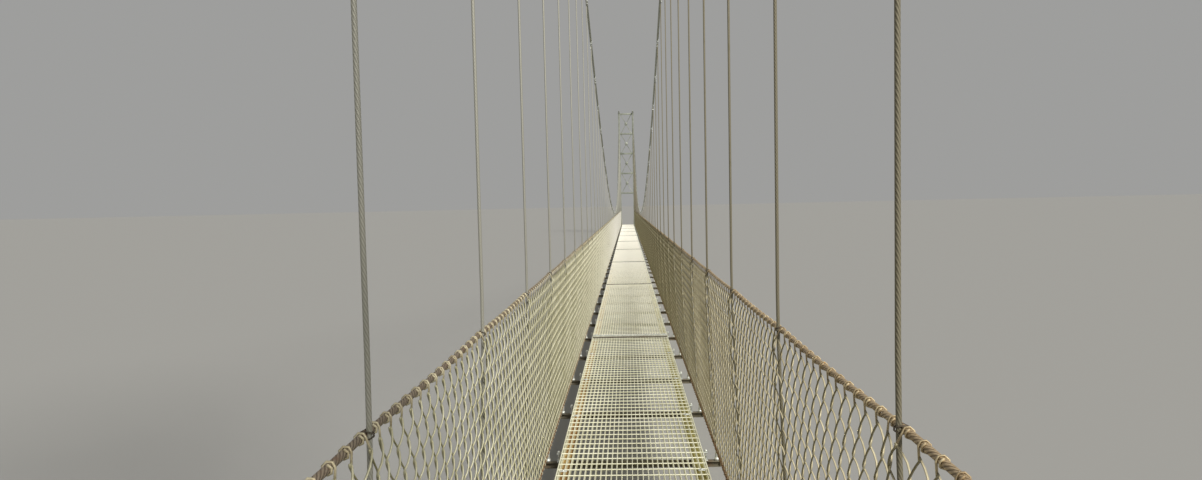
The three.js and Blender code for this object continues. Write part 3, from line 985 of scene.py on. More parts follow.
@dataclass
class Hangers:
    """Hangers with the rail rope and foot rope that tie them together, in three stretches a side."""

    span: Span
    hanger_finish: dict[Side, Material]
    rail_finish: dict[Side, Material]
    foot_finish: Material
    limits: tuple[float, ...] = (0, 17.5, 33.5, 51)
    steps_a_bay: int = 6
    rope_sides: int = 10
    hanger_sides: int = 8
    bend_shares: tuple[float, float] = (0.04, 0.02)

    def stretch(self, first: float, last: float) -> np.ndarray:
        """Places along the deck at which the ropes have a ring, from one bay line to another."""
        y = self.span.line(np.linspace(first, last, round((last - first) * self.steps_a_bay) + 1))
        return np.clip(y, -self.span.rope_end, self.span.rope_end)

    def hanger_paths(self, side: Side, first: float, last: float) -> np.ndarray:
        """Centrelines of the hangers between two bay lines.

        Args:
            side: which side.
            first: where the stretch starts, in bays.
            last: where it ends.

        Returns:
            An array of shape (hangers, points, 3).
        """
        span = self.span
        below, above = self.bend_shares
        paths = []
        for bay in range(max(math.ceil(first), 1), min(math.floor(last), span.bays - 1) + 1):
            y = span.line(bay)
            top = span.cable_z(y)
            foot = Vector((span.hanger_foot_x, y, span.hanger_foot_z))
            knee = Vector((span.hanger_knee_x, y, span.rail_z))
            head = Vector((span.cable_x(top), y, top))
            spots = (foot, knee.lerp(foot, below), knee.lerp(head, above), head)
            paths.append([tuple(spot) for spot in spots])
        return np.array(paths) * side.mirror

    def build(self) -> None:
        """Makes the six stretches."""
        span = self.span
        for side in Side:
            for number, (first, last) in enumerate(zip(self.limits, self.limits[1:]), 1):
                y = self.stretch(first, last)
                x = np.full_like(y, side.value)
                rail = np.stack([x * span.rail_x, y, span.rail_height(y)], 1)[None]
                foot = np.stack([x * span.foot_x, y, np.full_like(y, span.foot_z)], 1)[None]
                hangers = self.hanger_paths(side, first, last)
                ropes = [Bench.paint(swept(name, paths, radius, sides, (1, 0, 0)), finish)
                         for name, paths, radius, sides, finish in (
                             ("rail", rail, span.rail_radius, self.rope_sides, self.rail_finish[side]),
                             ("foot", foot, span.rail_radius, self.rope_sides, self.foot_finish),
                             ("hangers", hangers, span.hanger_radius, self.hanger_sides,
                              self.hanger_finish[side]))]
                hand_over(Bench.join(f"{side.label}_rope_group_{number}", ropes), Slot.HANGER_ROPE,
                          f"{side.label}_hangers_{number}")


@dataclass
class HangerFittings:
    """Bands and clips at the hangers' heads, ties where they cross the rail rope, studs at their feet."""

    span: Span
    rope_finish: Material
    zinc: Material
    tie_finish: Material
    tie_radius: float = 0.0009
    clip_drops: tuple[float, ...] = (0.024, 0.044)
    clip_wire: float = 0.0014
    clip_leg: float = 0.009
    clip_saddle: Corners = ((-0.010, 0.003, -0.0045), (0.010, 0.0065, 0.0045))
    clip_nut_radius: float = 0.003
    clip_nut_top: float = 0.0095
    return_drop: float = 0.014
    return_length: float = 0.058
    band_length: float = 0.03
    band_wall: float = 0.0022
    band_rim: float = 0.0012
    band_ears: Corners = ((-0.004, -0.011, -0.019), (0.004, 0.011, -0.006))
    stud_radius: float = 0.0055
    stud_height: float = 0.05
    stud_taper: float = 0.8
    nut_radius: float = 0.0085
    nut_height: float = 0.0085
    sink: float = 0.0005

    def clip(self) -> Piece:
        """Models one wire rope clip: U-bolt, plain saddle and two nuts, round a rope along Z.

        Returns:
            The clip, round the origin.
        """
        reach = 2 * self.span.hanger_radius
        bend = np.linspace(-math.pi / 2, math.pi / 2, 5)
        bow = [(reach * math.sin(a), -reach * math.cos(a) * 0.9, 0.0) for a in bend]
        path = [(-reach, self.clip_leg, 0.0), *bow, (reach, self.clip_leg, 0.0)]
        hoop = swept("clip_bow", np.array([path]), self.clip_wire, 4, (0, 0, 1))
        saddle = Bench.block("clip_saddle", *self.clip_saddle)
        seat = self.clip_saddle[1][1]
        nuts = [Bench.round_bar("clip_nut", (x, seat, 0), (x, self.clip_nut_top, 0),
                                self.clip_nut_radius, 6) for x in (-reach, reach)]
        return Bench.paint(Bench.join("clip", [hoop, saddle, *nuts]), self.zinc)

    def rail_tie(self) -> Piece:
        """Models two crossed wire loops that bind a hanger to the rail rope outside it.

        Returns:
            The ties round the origin, with the hanger on its -X side and the rail rope on its +X side.
        """
        loop = ((-0.0068, -0.002), (-0.0068, 0.002), (-0.003, 0.0048), (0.003, 0.0056), (0.0077, 0.0025),
                (0.0077, -0.0025), (0.003, -0.0056), (-0.003, -0.0048), (-0.0068, -0.002))
        slope = math.sqrt(0.5)
        loops = []
        for way in (-1, 1):
            path = [(x, way * slope * reach, slope * reach) for x, reach in loop]
            loops.append(swept("tie_loop", np.array([path]), self.tie_radius, 3, (0, 1, -way)))
        return Bench.paint(Bench.join("rail_tie", loops), self.tie_finish)

    def band(self) -> Piece:
        """Models the band that holds a hanger's head on the cable.

        Returns:
            The band round the origin, along Y, with its ears below.
        """
        half = self.band_length / 2
        band = Bench.round_bar("band", (0, -half, 0), (0, half, 0), self.span.cable_radius + self.band_wall,
                               12, bevel=self.band_rim)
        ears = Bench.block("ears", *self.band_ears)
        return Bench.paint(Bench.join("cable_band", [band, ears]), self.zinc)

    def foot_stud(self) -> Piece:
        """Models the tapered stud at a hanger's foot, with its nut.

        Returns:
            The stud, up from the origin.
        """
        stud = Bench.round_bar("stud", (0, 0, -self.sink), (0, 0, self.stud_height), self.stud_radius, 8,
                               self.stud_radius * self.stud_taper)
        nut = Bench.round_bar("stud_nut", (0, 0, -self.sink), (0, 0, self.nut_height), self.nut_radius, 6)
        return Bench.paint(Bench.join("foot_stud", [stud, nut]), self.zinc)

    def heads(self, side: Side) -> list[tuple[Vector, float]]:
        """Finds where the hangers meet the cable.

        Args:
            side: which side.

        Returns:
            Each hanger's head, and the cable's slope there.
        """
        span = self.span
        places = []
        for y in map(span.line, range(1, span.bays)):
            z = span.cable_z(y)
            places.append((Vector((side.value * span.cable_x(z), y, z)), math.atan(2 * span.curve * y)))
        return places

    def build(self) -> None:
        """Makes the fittings of each side, with the ropes' ends turned down on alternate sides."""
        span = self.span
        for side in Side:
            clips, ties, bands, studs, legs = [], [], [], [], []
            tie_x = side.value * (span.hanger_knee_x + span.rail_x) / 2
            for number, (head, slope) in enumerate(self.heads(side)):
                way = 1 if number % 2 else -1
                for drop in self.clip_drops:
                    clips.append(Matrix.Translation(head - Vector((0, 0, drop)))
                                 @ Matrix.Rotation(way * math.pi / 2, 4, "Z"))
                ties.append(Matrix.Translation((tie_x, head.y, span.rail_z)) @ side.turn)
                bands.append(Matrix.Translation(head) @ Matrix.Rotation(slope, 4, "X"))
                studs.append(Matrix.Translation(
                    (side.value * span.hanger_foot_x, head.y, span.hanger_foot_z)))
                beside = head + Vector((0, way * 2 * span.hanger_radius, 0))
                legs.append([tuple(head), *(tuple(beside - Vector((0, 0, drop)))
                                            for drop in (self.return_drop, self.return_length))])
            parts = [stamped(name, pattern, places) for name, pattern, places in (
                ("clips", self.clip(), clips), ("ties", self.rail_tie(), ties),
                ("bands", self.band(), bands), ("studs", self.foot_stud(), studs))]
            parts.append(Bench.paint(swept("legs", np.array(legs), span.hanger_radius, 5, (1, 0, 0)),
                                     self.rope_finish))
            hand_over(Bench.join(f"{side.label}_hanger_fittings", parts), Slot.HANGER_ROPE)


@dataclass
class ChainLink:
    """Chain-link sides: every wire is a flattened coil that hooks into the coils beside it."""

    span: Span
    finish: dict[Side, Material]
    hook_finish: dict[Side, Material]
    wire_radius: float = 0.0014
    pitch: float = 0.02
    turns: int = 9
    round_bulge: float = 0.004
    flat_bulge: float = 0.0012
    hanger_gap: float = 0.005
    hanger_reach: float = 0.025
    top_flare: float = 0.0062
    foot_gap: float = 0.0045
    rail_gap: float = 0.010
    close_bays: float = 3.0
    roll_limit: float = 25.5
    belly: float = 0.003
    drift: float = 0.0022
    scatter: float = 0.0003
    hook_shift: float = 0.009
    hook_turns: float = 1.2
    seed: int = 7

    def on_sheet(self, side: Side, y: np.ndarray, part: np.ndarray) -> np.ndarray:
        """Places points of the leaning sheet, which rests on the hangers and swells between them.

        Args:
            side: which side.
            y: places along the deck.
            part: height from the foot rope, 0, to the rail rope, 1.

        Returns:
            The points, with a last axis of 3.
        """
        span = self.span
        low = span.foot_z + self.foot_gap
        high = span.rail_height(y) - self.rail_gap
        z = low + (high - low) * part
        lean = (z - span.foot_z) / (span.rail_z - span.foot_z)
        beside = np.mod(y + span.half + span.bay / 2, span.bay) - span.bay / 2
        between = 1 - np.exp(-(beside / self.hanger_reach) ** 2)
        swell = self.belly * np.sin(np.pi * part) * np.cos(np.pi * beside / span.bay + np.pi / 2) ** 2
        swell *= 0.6 + 0.4 * np.sin(1.9 * y + 0.7 * side.value)
        flare = self.top_flare * between * np.clip((part - 0.8) / 0.2, 0, 1) ** 2
        outer = self.round_bulge if side is Side.RIGHT else self.flat_bulge
        inset = outer + self.wire_radius + span.hanger_radius - self.hanger_gap
        rest = inset * np.sqrt(part) * (1 - between)
        x = span.foot_x + (span.mesh_top_x - span.foot_x) * lean + swell + flare - rest
        return np.stack([side.value * x, y, z], -1)

    def numbers(self, first: float, last: float) -> np.ndarray:
        """Numbers the coils between two bay lines.

        Args:
            first: where they start, in bays.
            last: where they end.

        Returns:
            Whole numbers, which are the coils' places in pitches from mid-span.
        """
        low = max(self.span.line(first), -self.span.rope_end + self.pitch)
        high = min(self.span.line(last), self.span.rope_end - self.pitch)
        return np.arange(math.ceil(low / self.pitch), math.ceil(high / self.pitch))

    def coils(self, name: str, side: Side, first: float, last: float, wire: Wire) -> Piece:
        """Weaves the coils between two bay lines.

        Args:
            name: the object's name.
            side: which side.
            first: where they start, in bays.
            last: where they end.
            wire: how finely they are drawn.

        Returns:
            The woven wires as one mesh.
        """
        bends, sides = wire.value
        numbers = self.numbers(first, last)
        random = np.random.default_rng(self.seed + side.value + int(first))
        degrees = [360 * number + bend for number in range(self.turns) for bend in bends]
        turn = np.radians([*degrees, 360 * self.turns])[None, :]
        phase = (np.pi * (numbers % 2))[:, None]
        angle = turn + phase
        reach = self.pitch / 2 + self.wire_radius
        # A triangle wave's first two terms: straight legs with tight bends between them
        wave = (np.cos(angle) + np.cos(3 * angle) / 9) / (1 + 1 / 9)
        y0 = (numbers * self.pitch)[:, None]
        drift = (self.drift * np.sin(2.3 * y0 + 4 * turn / turn.max())
                 + random.normal(0, self.scatter, y0.shape))
        part = 1 - turn / turn.max() + 0 * y0
        points = self.on_sheet(side, y0 + drift + reach * wave, part)
        depth = np.sin(angle)
        # The half of each turn towards +X is round, the half towards -X flat and marked for painted shade
        points[..., 0] += np.where(depth > 0, self.round_bulge, self.flat_bulge) * depth
        woven = swept(name, points, self.wire_radius, sides, (1, 0, 0))
        # Painted shade on the -X half of each turn, which the key light from +X leaves dim
        shaded = np.repeat(np.clip(0.5 - 0.8 * depth, 0, 1).ravel(), sides)
        layer = woven.data.attributes.new("shaded_half", "FLOAT", "POINT")
        layer.data.foreach_set("value", shaded.astype(np.float32))
        return woven

    def loops(self, name: str, side: Side, first: float, last: float, wire: Wire) -> Piece:
        """Winds the coils' ends round the rail rope, a little over a turn above every second knuckle.

        Args:
            name: the object's name.
            side: which side.
            first: where they start, in bays.
            last: where they end.
            wire: how finely they are drawn.

        Returns:
            The hooks as one mesh.
        """
        span = self.span
        numbers = self.numbers(first, last)
        numbers = numbers[numbers % 2 == 0]
        y = (numbers * self.pitch + self.pitch / 2)[:, None]
        halves = np.linspace(0.0, 2 * self.hook_turns, 9)
        if wire is Wire.DISTANT:
            halves = np.array([0.0, 0.5, 1.25, 2.1])
        around = np.pi * halves[None, :]
        radius = span.rail_radius + self.wire_radius * 0.9
        slant = np.clip(halves - 0.5, 0, 2)[None, :] / 2
        hook = np.stack([
            side.value * (span.rail_x - radius * np.cos(around)) + 0 * y,
            y - self.hook_shift * slant,
            span.rail_height(y) + radius * np.sin(around),
        ], -1)
        leg = self.on_sheet(side, y, np.ones_like(y, float)) - np.array([0, 0, 0.4 * self.rail_gap])
        path = np.concatenate([leg, hook], 1)
        return swept(name, path, self.wire_radius, wire.value[1], (0, 1, 0))

    def lacing(self, name: str, side: Side, first: float, last: float, wire: Wire) -> Piece:
        """Winds the lacing wire that ties the coils' feet to the foot rope.

        Args:
            name: the object's name.
            side: which side.
            first: where it starts, in bays.
            last: where it ends.
            wire: how finely it is drawn.

        Returns:
            The wire.
        """
        span = self.span
        ends = np.clip([span.line(first), span.line(last)], -span.rope_end, span.rope_end)
        turns = (ends[1] - ends[0]) / (2 * self.pitch)
        steps = 8 if wire is Wire.CLOSE else 4
        count = max(int(turns * steps), 2)
        along = np.linspace(0, 1, count)
        angle = 2 * np.pi * turns * along
        radius = span.rail_radius + self.wire_radius * 1.3
        path = np.stack([
            side.value * span.foot_x + radius * np.cos(angle),
            ends[0] + (ends[1] - ends[0]) * along,
            span.foot_z + 0.001 + radius * np.sin(angle),
        ], -1)
        return swept(name, path[None], self.wire_radius, wire.value[1], (0.3, 0, 1))

    def build(self) -> None:
        """Makes the rolls of both sides, finer near the near end."""
        sections = (
            ("near", 0.0, self.close_bays, Wire.CLOSE, 1),
            ("middle", self.close_bays, self.roll_limit, Wire.DISTANT, 1),
            ("far", self.roll_limit, float(self.span.bays), Wire.DISTANT, 2),
        )
        for side in Side:
            for label, first, last, wire, roll in sections:
                parts = [Bench.paint(make(name, side, first, last, wire), finish[side])
                         for name, make, finish in (("coils", self.coils, self.finish),
                                                    ("hooks", self.loops, self.hook_finish),
                                                    ("lacing", self.lacing, self.hook_finish))]
                piece = Bench.join(f"{side.label}_woven_mesh_{label}", parts)
                hand_over(piece, Slot.MESH, f"{side.label}_chain_link_{roll}")


@dataclass
class DeckGrating:
    """Open bar grating in panels: bearing bars along the walk, square rods across, flats round them."""

    span: Span
    finish: Material
    # Dark paint for the joint lips and strip: painted shade
    joint_finish: Material
    zinc: Material
    # The joint whose lip is bright zinc: a painted highlight
    bright_joint: int = 3
    panels: int = 11
    bar_pitch: float = 0.0152
    bar_width: float = 0.0023
    bars: int = 29
    rod_pitch: float = 0.05
    rod_side: float = 0.0029
    bar_drop: float = 0.0004
    flat_width: float = 0.0032
    lip_width: float = 0.008
    lip_seat: float = 0.001
    lip_rise: float = 0.006
    highlight_rise: float = 0.009
    strip_width: float = 0.045
    strip_seat: float = 0.002
    strip_rise: float = 0.0004
    clip_x: float = 0.2
    clip_plate: Corners = ((-0.010, -0.006, -0.0004), (0.010, 0.006, 0.0014))
    clip_bevel: float = 0.0004
    clip_head_radius: float = 0.0042
    clip_head_top: float = 0.0042

    def panel(self, number: int) -> Piece:
        """Builds one panel in its node's box.

        Args:
            number: the panel's number from the near end.

        Returns:
            The panel.
        """
        low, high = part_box(f"grating_panel_{number}")
        flat = self.flat_width
        left, right = low.x + flat, high.x - flat
        first_x = -self.bar_pitch * (self.bars - 1) / 2
        bars = Bench.block("bearing_bar", (first_x - self.bar_width / 2, low.y + flat / 2, low.z),
                           (first_x + self.bar_width / 2, high.y - flat / 2, high.z - self.bar_drop))
        Bench.row(bars, self.bars, (self.bar_pitch, 0, 0))
        edges = Bench.block("edge_flat", low, (left, high.y, high.z))
        Bench.row(edges, 2, (high.x - low.x - flat, 0, 0))
        ends = Bench.block("end_flat", (left, low.y, low.z), (right, low.y + flat, high.z))
        Bench.row(ends, 2, (0, high.y - low.y - flat, 0))
        half = self.rod_side / 2
        rods = Bench.block("cross_rod", (left, -half, -half), (right, half, half))
        rods.rotation_euler = (math.pi / 4, 0, 0)
        rods.location = (0, low.y + self.rod_pitch / 2, high.z - self.rod_side * math.sqrt(0.5))
        Bench.settle(rods)
        count = int((high.y - low.y - self.rod_pitch / 2) / self.rod_pitch) + 1
        Bench.row(rods, count, (0, self.rod_pitch, 0))
        parts = Bench.paint_all([bars, edges, ends, rods], self.finish)
        # One joint's lip is bright zinc as a painted highlight; the other lips are painted dark as painted
        # shade
        bright = number == self.bright_joint
        if number > 1:
            rise = self.highlight_rise if bright else self.lip_rise
            lip = Bench.block("joint_lip", (left, low.y, high.z - self.lip_seat),
                              (right, low.y + self.lip_width, high.z + rise), self.lip_seat)
            parts.append(Bench.paint(lip, self.zinc if bright else self.joint_finish))
        # A dark strip just before the bright lip: a painted shadow
        if number == self.bright_joint - 1:
            strip = Bench.block("painted_shadow_strip", (left, high.y - self.strip_width, high.z - self.strip_seat),
                                (right, high.y - flat, high.z + self.strip_rise))
            parts.append(Bench.paint(strip, self.joint_finish))
        return Bench.join(f"bar_grating_{number}", parts)

    def saddle_clips(self) -> Piece:
        """Builds the clips that hold the grating to the stringers, one a side in each bay.

        Returns:
            The clips as one mesh.
        """
        plate = Bench.block("clip_plate", *self.clip_plate, self.clip_bevel)
        head = Bench.round_bar("clip_head", (0, 0, self.clip_plate[1][2]), (0, 0, self.clip_head_top),
                               self.clip_head_radius, 6)
        clip = Bench.paint(Bench.join("saddle_clip", [plate, head]), self.zinc)
        places = [Matrix.Translation((x, self.span.line(bay + 0.5), self.span.deck_top))
                  for bay in range(self.span.bays) for x in (-self.clip_x, self.clip_x)]
        return stamped("grating_clips", clip, places)

    def build(self) -> None:
        """Makes the panels and their clips."""
        for number in range(1, self.panels + 1):
            hand_over(self.panel(number), Slot.GRATING, f"grating_panel_{number}")
        hand_over(self.saddle_clips(), Slot.GRATING)


@dataclass
class DeckFrame:
    """Stringers and crossbeams as rolled sections, with cleats and bolts where they cross."""

    span: Span
    stringer_finish: dict[Side, Material]
    beam_finish: Material
    zinc: Material
    frames: int = 3
    stringer_outer: float = 0.2175
    stringer_width: float = 0.025
    stringer_depth: float = 0.05
    stringer_bevel: float = 0.0008
    flange: float = 0.004
    beam_half_width: float = 0.01
    beam_flange: float = 0.0025
    beam_web: float = 0.003
    beam_bevel: float = 0.0005
    beam_gap: float = 0.0003
    cleat_web: Corners = ((0.0, -0.009, 0.0), (0.003, 0.009, 0.031))
    cleat_foot: Corners = ((0.002, -0.009, 0.0), (0.029, 0.009, 0.003))
    cleat_strap: Corners = ((0.001, -0.007, 0.025), (0.029, 0.007, 0.029))
    cleat_bevel: float = 0.0005
    bolt_places: tuple[float, ...] = (0.009, 0.023)
    bolt_ends: tuple[float, float] = (0.002, 0.036)
    bolt_radius: float = 0.003
    nut_levels: tuple[float, ...] = (0.003, 0.029)
    nut_height: float = 0.005
    nut_radius: float = 0.0055

    def crossbeam_lines(self, low_y: float, high_y: float) -> list[float]:
        """Finds the crossbeams that one frame carries.

        Args:
            low_y: the frame's near end.
            high_y: its far end.

        Returns:
            Each crossbeam's Y.
        """
        end = self.span.end_crossbeam
        lines = [max(min(self.span.line(bay), end), -end) for bay in range(self.span.bays + 1)]
        return [y for y in lines if low_y <= y <= high_y]

    def stringer(self, side: Side, low: Vector, high: Vector) -> Piece:
        """Builds one stringer as a channel that opens towards the middle.

        Args:
            side: which side.
            low: the frame's lowest corner.
            high: the frame's highest corner.

        Returns:
            The stringer.
        """
        edges = sorted((side.value * self.stringer_outer,
                        side.value * (self.stringer_outer - self.stringer_width)))
        bar = Bench.block("stringer", (edges[0], low.y, high.z - self.stringer_depth),
                          (edges[1], high.y, high.z))
        Bench.pocket(bar, (-side.value, 0, 0), self.flange, self.stringer_width - self.flange)
        return Bench.paint(Bench.ease(bar, self.stringer_bevel), self.stringer_finish[side])

    def crossbeams(self, low: Vector, high: Vector) -> Piece:
        """Builds a frame's crossbeams as broad-flanged beams with end plates.

        Args:
            low: the frame's lowest corner.
            high: the frame's highest corner.

        Returns:
            The crossbeams as one mesh.
        """
        top = high.z - self.stringer_depth - self.beam_gap
        beam = Bench.block("crossbeam", (low.x, -self.beam_half_width, low.z),
                           (high.x, self.beam_half_width, top))
        depth = self.beam_half_width - self.beam_web / 2
        for way in (-1, 1):
            Bench.pocket(beam, (0, way, 0), self.beam_flange, depth)
        Bench.paint(Bench.ease(beam, self.beam_bevel), self.beam_finish)
        return stamped("crossbeams", beam, [Matrix.Translation((0, y, 0))
                                            for y in self.crossbeam_lines(low.y, high.y)])

    def cleats(self, low: Vector, high: Vector) -> Piece:
        """Builds the bolted cleats between stringers and crossbeams.

        Args:
            low: the frame's lowest corner.
            high: the frame's highest corner.

        Returns:
            The cleats as one mesh.
        """
        seat = high.z - self.stringer_depth
        foot, head = self.bolt_ends
        plates = [Bench.block("cleat_plate", *corners, self.cleat_bevel)
                  for corners in (self.cleat_web, self.cleat_foot, self.cleat_strap)]
        studs = [Bench.round_bar("cleat_stud", (x, 0, foot), (x, 0, head), self.bolt_radius, 8)
                 for x in self.bolt_places]
        nuts = [Bench.round_bar("cleat_nut", (x, 0, z), (x, 0, z + self.nut_height), self.nut_radius, 6)
                for x in self.bolt_places for z in self.nut_levels]
        cleat = Bench.paint(Bench.join("cleat_set", [*plates, *studs, *nuts]), self.zinc)
        places = [Matrix.Translation((side.value * self.stringer_outer, y, seat)) @ side.turn
                  for y in self.crossbeam_lines(low.y, high.y) for side in (Side.RIGHT, Side.LEFT)]
        return stamped("cleats", cleat, places)

    def build(self) -> None:
        """Makes the three frames."""
        for number in range(1, self.frames + 1):
            node = f"deck_frame_{number}"
            low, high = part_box(node)
            parts = [*(self.stringer(side, low, high) for side in Side),
                     self.crossbeams(low, high), self.cleats(low, high)]
            hand_over(Bench.join(f"deck_steelwork_{number}", parts), Slot.DECK, node)


@dataclass
class Tower:
    """Portal towers: columns with bolted plates, cross-braced frame and cast saddles."""

    span: Span
    steel: Material
    cast: Material
    zinc: Material
    plate_depth: float = 0.01
    plate_bolt_offset: float = 0.0385
    base_bolt: float = 0.015
    cap_bolt: float = 0.011
    washer_radius: float = 0.0055
    washer_top: float = 0.0012
    nut_radius: float = 0.0048
    nut_top: float = 0.0065
    nut_bevel: float = 0.0004
    shank_radius: float = 0.0028
    column_half: float = 0.0325
    column_bevel: float = 0.0025
    bevel: float = 0.0015
    rim: float = 0.001
    gusset_reach: float = 0.011
    gusset_offset: float = 0.016
    gusset_height: float = 0.05
    gusset_thickness: float = 0.005
    lug: Corners = ((-0.012, -0.004, -0.016), (0.012, 0.004, 0.016))
    lug_sink: float = 0.002
    socket_length: float = 0.055
    socket_radii: tuple[float, float] = (0.0085, 0.0058)
    socket_bevel: float = 0.0008
    brace_panels: int = 4
    tie_depth: float = 0.06
    cross_plate: Corners = ((-0.05, -0.0145, -0.05), (0.05, 0.0145, 0.05))
    cross_bolt_offset: float = 0.028
    cross_bolt_half: float = 0.021
    cross_bolt_radius: float = 0.0065
    tie_tab: Corners = ((-0.003, -0.03, -0.038), (0.003, 0.03, 0.038))
    tie_tab_inset: float = 0.003
    rib: Corners = ((-0.003, -0.003, 0.0), (0.003, 0.003, 0.045))
    rib_offset: float = 0.0265
    rib_shares: tuple[float, ...] = (-0.3, 0.0, 0.3)
    keeper_angles: tuple[float, ...] = (-0.36, 0.0, 0.28)
    keeper_clearance: float = 0.002
    keeper_lift: float = 0.0095
    keeper_half: float = 0.021
    keeper_radius: float = 0.0035
    keeper_nut: tuple[float, float] = (0.016, 0.0205)
    keeper_nut_radius: float = 0.0062
    keeper_tab: Corners = ((-0.0025, -0.008, -0.012), (0.0025, 0.008, 0.0155))
    keeper_tab_offset: float = 0.0125

    def bolt(self, length: float) -> Piece:
        """Models a washer, nut and bolt end that stand up from the origin.

        Args:
            length: height of the bolt end.

        Returns:
            The set.
        """
        washer = Bench.round_bar("washer", (0, 0, 0), (0, 0, self.washer_top), self.washer_radius, 12)
        nut = Bench.round_bar("nut", (0, 0, self.washer_top), (0, 0, self.nut_top), self.nut_radius, 6,
                              bevel=self.nut_bevel)
        shank = Bench.round_bar("shank", (0, 0, self.nut_top), (0, 0, length), self.shank_radius, 8)
        return Bench.paint(Bench.join("bolt_set", [washer, nut, shank]), self.zinc)

    def gussets(self, centre: Vector, base: float) -> Piece:
        """Builds the stiffeners round a column's foot, two to each face.

        Args:
            centre: the column's axis on the floor.
            base: height of the base plate's top.

        Returns:
            The stiffeners as one mesh.
        """
        fin = Bench.block("gusset", (0, -self.gusset_thickness / 2, 0),
                          (self.gusset_reach, self.gusset_thickness / 2, self.gusset_height))
        for point in fin.data.vertices:
            if point.co.x > self.gusset_reach / 2 and point.co.z > self.gusset_height / 2:
                point.co.z = self.gusset_thickness * 2
        places = [Matrix.Translation((centre.x, centre.y, base))
                  @ Matrix.Rotation(quarter * math.pi / 2, 4, "Z")
                  @ Matrix.Translation((self.column_half, way * self.gusset_offset, 0))
                  for quarter in range(4) for way in (-1, 1)]
        return stamped("gussets", Bench.paint(fin, self.steel), places)

    def column(self, end: End, side: Side) -> None:
        """Makes one column with its plates, stiffeners, bolts and rope eyes.

        Args:
            end: which tower.
            side: which side of it.
        """
        node = f"{end.label}_{side.label}_column"
        low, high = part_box(node)
        centre = Vector(((low.x + high.x) / 2, (low.y + high.y) / 2, 0))
        shaft = Bench.paint(Bench.cad_copy("shaft", node, self.column_bevel), self.steel)
        base, cap = low.z + self.plate_depth, high.z - self.plate_depth
        reach = self.plate_bolt_offset
        corners = [(centre.x + x, centre.y + y) for x in (-reach, reach) for y in (-reach, reach)]
        standing = [Matrix.Translation((*corner, base)) for corner in corners]
        bolts = stamped("bolts", self.bolt(self.base_bolt), standing)
        hanging = [Matrix.Translation((*corner, cap)) @ Matrix.Rotation(math.pi, 4, "X")
                   for corner in corners]
        cap_bolts = stamped("cap_bolts", self.bolt(self.cap_bolt), hanging)
        eyes = []
        face_y = centre.y - end.value * self.column_half
        wide, narrow = self.socket_radii
        for height, x in ((self.span.foot_z, self.span.foot_x), (self.span.rail_z, self.span.rail_x)):
            x *= side.value
            lug = Bench.block("lug", *self.lug, self.rim, (x, face_y + end.value * self.lug_sink, height))
            socket = Bench.round_bar("socket", (x, face_y, height),
                                     (x, face_y - end.value * self.socket_length, height), wide, 12,
                                     narrow, self.socket_bevel)
            eyes += [Bench.paint(lug, self.steel), Bench.paint(socket, self.zinc)]
        parts = [shaft, self.gussets(centre, base), bolts, cap_bolts, *eyes]
        hand_over(Bench.join(f"{end.label}_{side.label}_mast", parts), Slot.TOWER, node)

    def bracing(self, end: End) -> None:
        """Makes a tower's ties and diagonals with gusset plates and bolts.

        Args:
            end: which tower.
        """
        node = f"{end.label}_tower_frame"
        low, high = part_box(node)
        bars = Bench.paint(Bench.cad_copy("ties", node, self.bevel), self.steel)
        panel = (high.z - low.z - self.tie_depth) / self.brace_panels
        y = end.value * self.span.half
        crossings = [Matrix.Translation((0, y, low.z + self.tie_depth / 2 + (level + 0.5) * panel))
                     @ Matrix.Rotation(math.pi / 4, 4, "Y") for level in range(self.brace_panels)]
        plate = Bench.paint(Bench.block("cross_plate", *self.cross_plate, self.bevel), self.steel)
        reach, half = self.cross_bolt_offset, self.cross_bolt_half
        heads = [Bench.round_bar("cross_bolt", (x, -half, z), (x, half, z), self.cross_bolt_radius, 6)
                 for x in (-reach, reach) for z in (-reach, reach)]
        Bench.paint_all(heads, self.zinc)
        cross = stamped("cross_plates", Bench.join("cross", [plate, *heads]), crossings)
        feet = [Matrix.Translation((way * (high.x - self.tie_tab_inset), y,
                                    low.z + level * panel + self.tie_depth / 2))
                for level in range(self.brace_panels + 1) for way in (-1, 1)]
        tab = Bench.block("tie_tab", *self.tie_tab, self.rim)
        tabs = stamped("tie_tabs", Bench.paint(tab, self.steel), feet)
        hand_over(Bench.join(f"{end.label}_bracing", [bars, cross, tabs]), Slot.TOWER, node)

    def saddle(self, end: End, side: Side) -> None:
        """Makes one cable saddle with ribs, base bolts and keeper bolts over the cable.

        Args:
            end: which tower.
            side: which side of it.
        """
        node = f"{end.label}_{side.label}_saddle"
        low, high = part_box(node)
        x, middle = (low.x + high.x) / 2, (low.y + high.y) / 2
        parts = [Bench.cad_copy("saddle_body", node, self.bevel)]
        for share in self.rib_shares:
            y = middle + share * (high.y - low.y)
            parts += [Bench.block("rib", *self.rib, self.rim, (x + way * self.rib_offset, y, low.z))
                      for way in (-1, 1)]
        Bench.paint_all(parts, self.cast)
        centre_z = self.span.apex_z - self.span.saddle_radius
        radius = self.span.saddle_radius + self.keeper_clearance
        inner, outer = self.keeper_nut
        for angle in self.keeper_angles:
            turned = angle * -end.value
            y = end.value * self.span.half + radius * math.sin(turned)
            z = centre_z + radius * math.cos(turned)
            bolt_z = z + self.keeper_lift
            bolt = Bench.round_bar("keeper", (x - self.keeper_half, y, bolt_z),
                                   (x + self.keeper_half, y, bolt_z), self.keeper_radius, 8)
            nuts = [Bench.round_bar("keeper_nut", (x + way * inner, y, bolt_z),
                                    (x + way * outer, y, bolt_z), self.keeper_nut_radius, 6)
                    for way in (-1, 1)]
            tabs = [Bench.block("keeper_tab", *self.keeper_tab, self.rim,
                                (x + way * self.keeper_tab_offset, y, z)) for way in (-1, 1)]
            parts += Bench.paint_all(tabs, self.cast) + Bench.paint_all([bolt, *nuts], self.zinc)
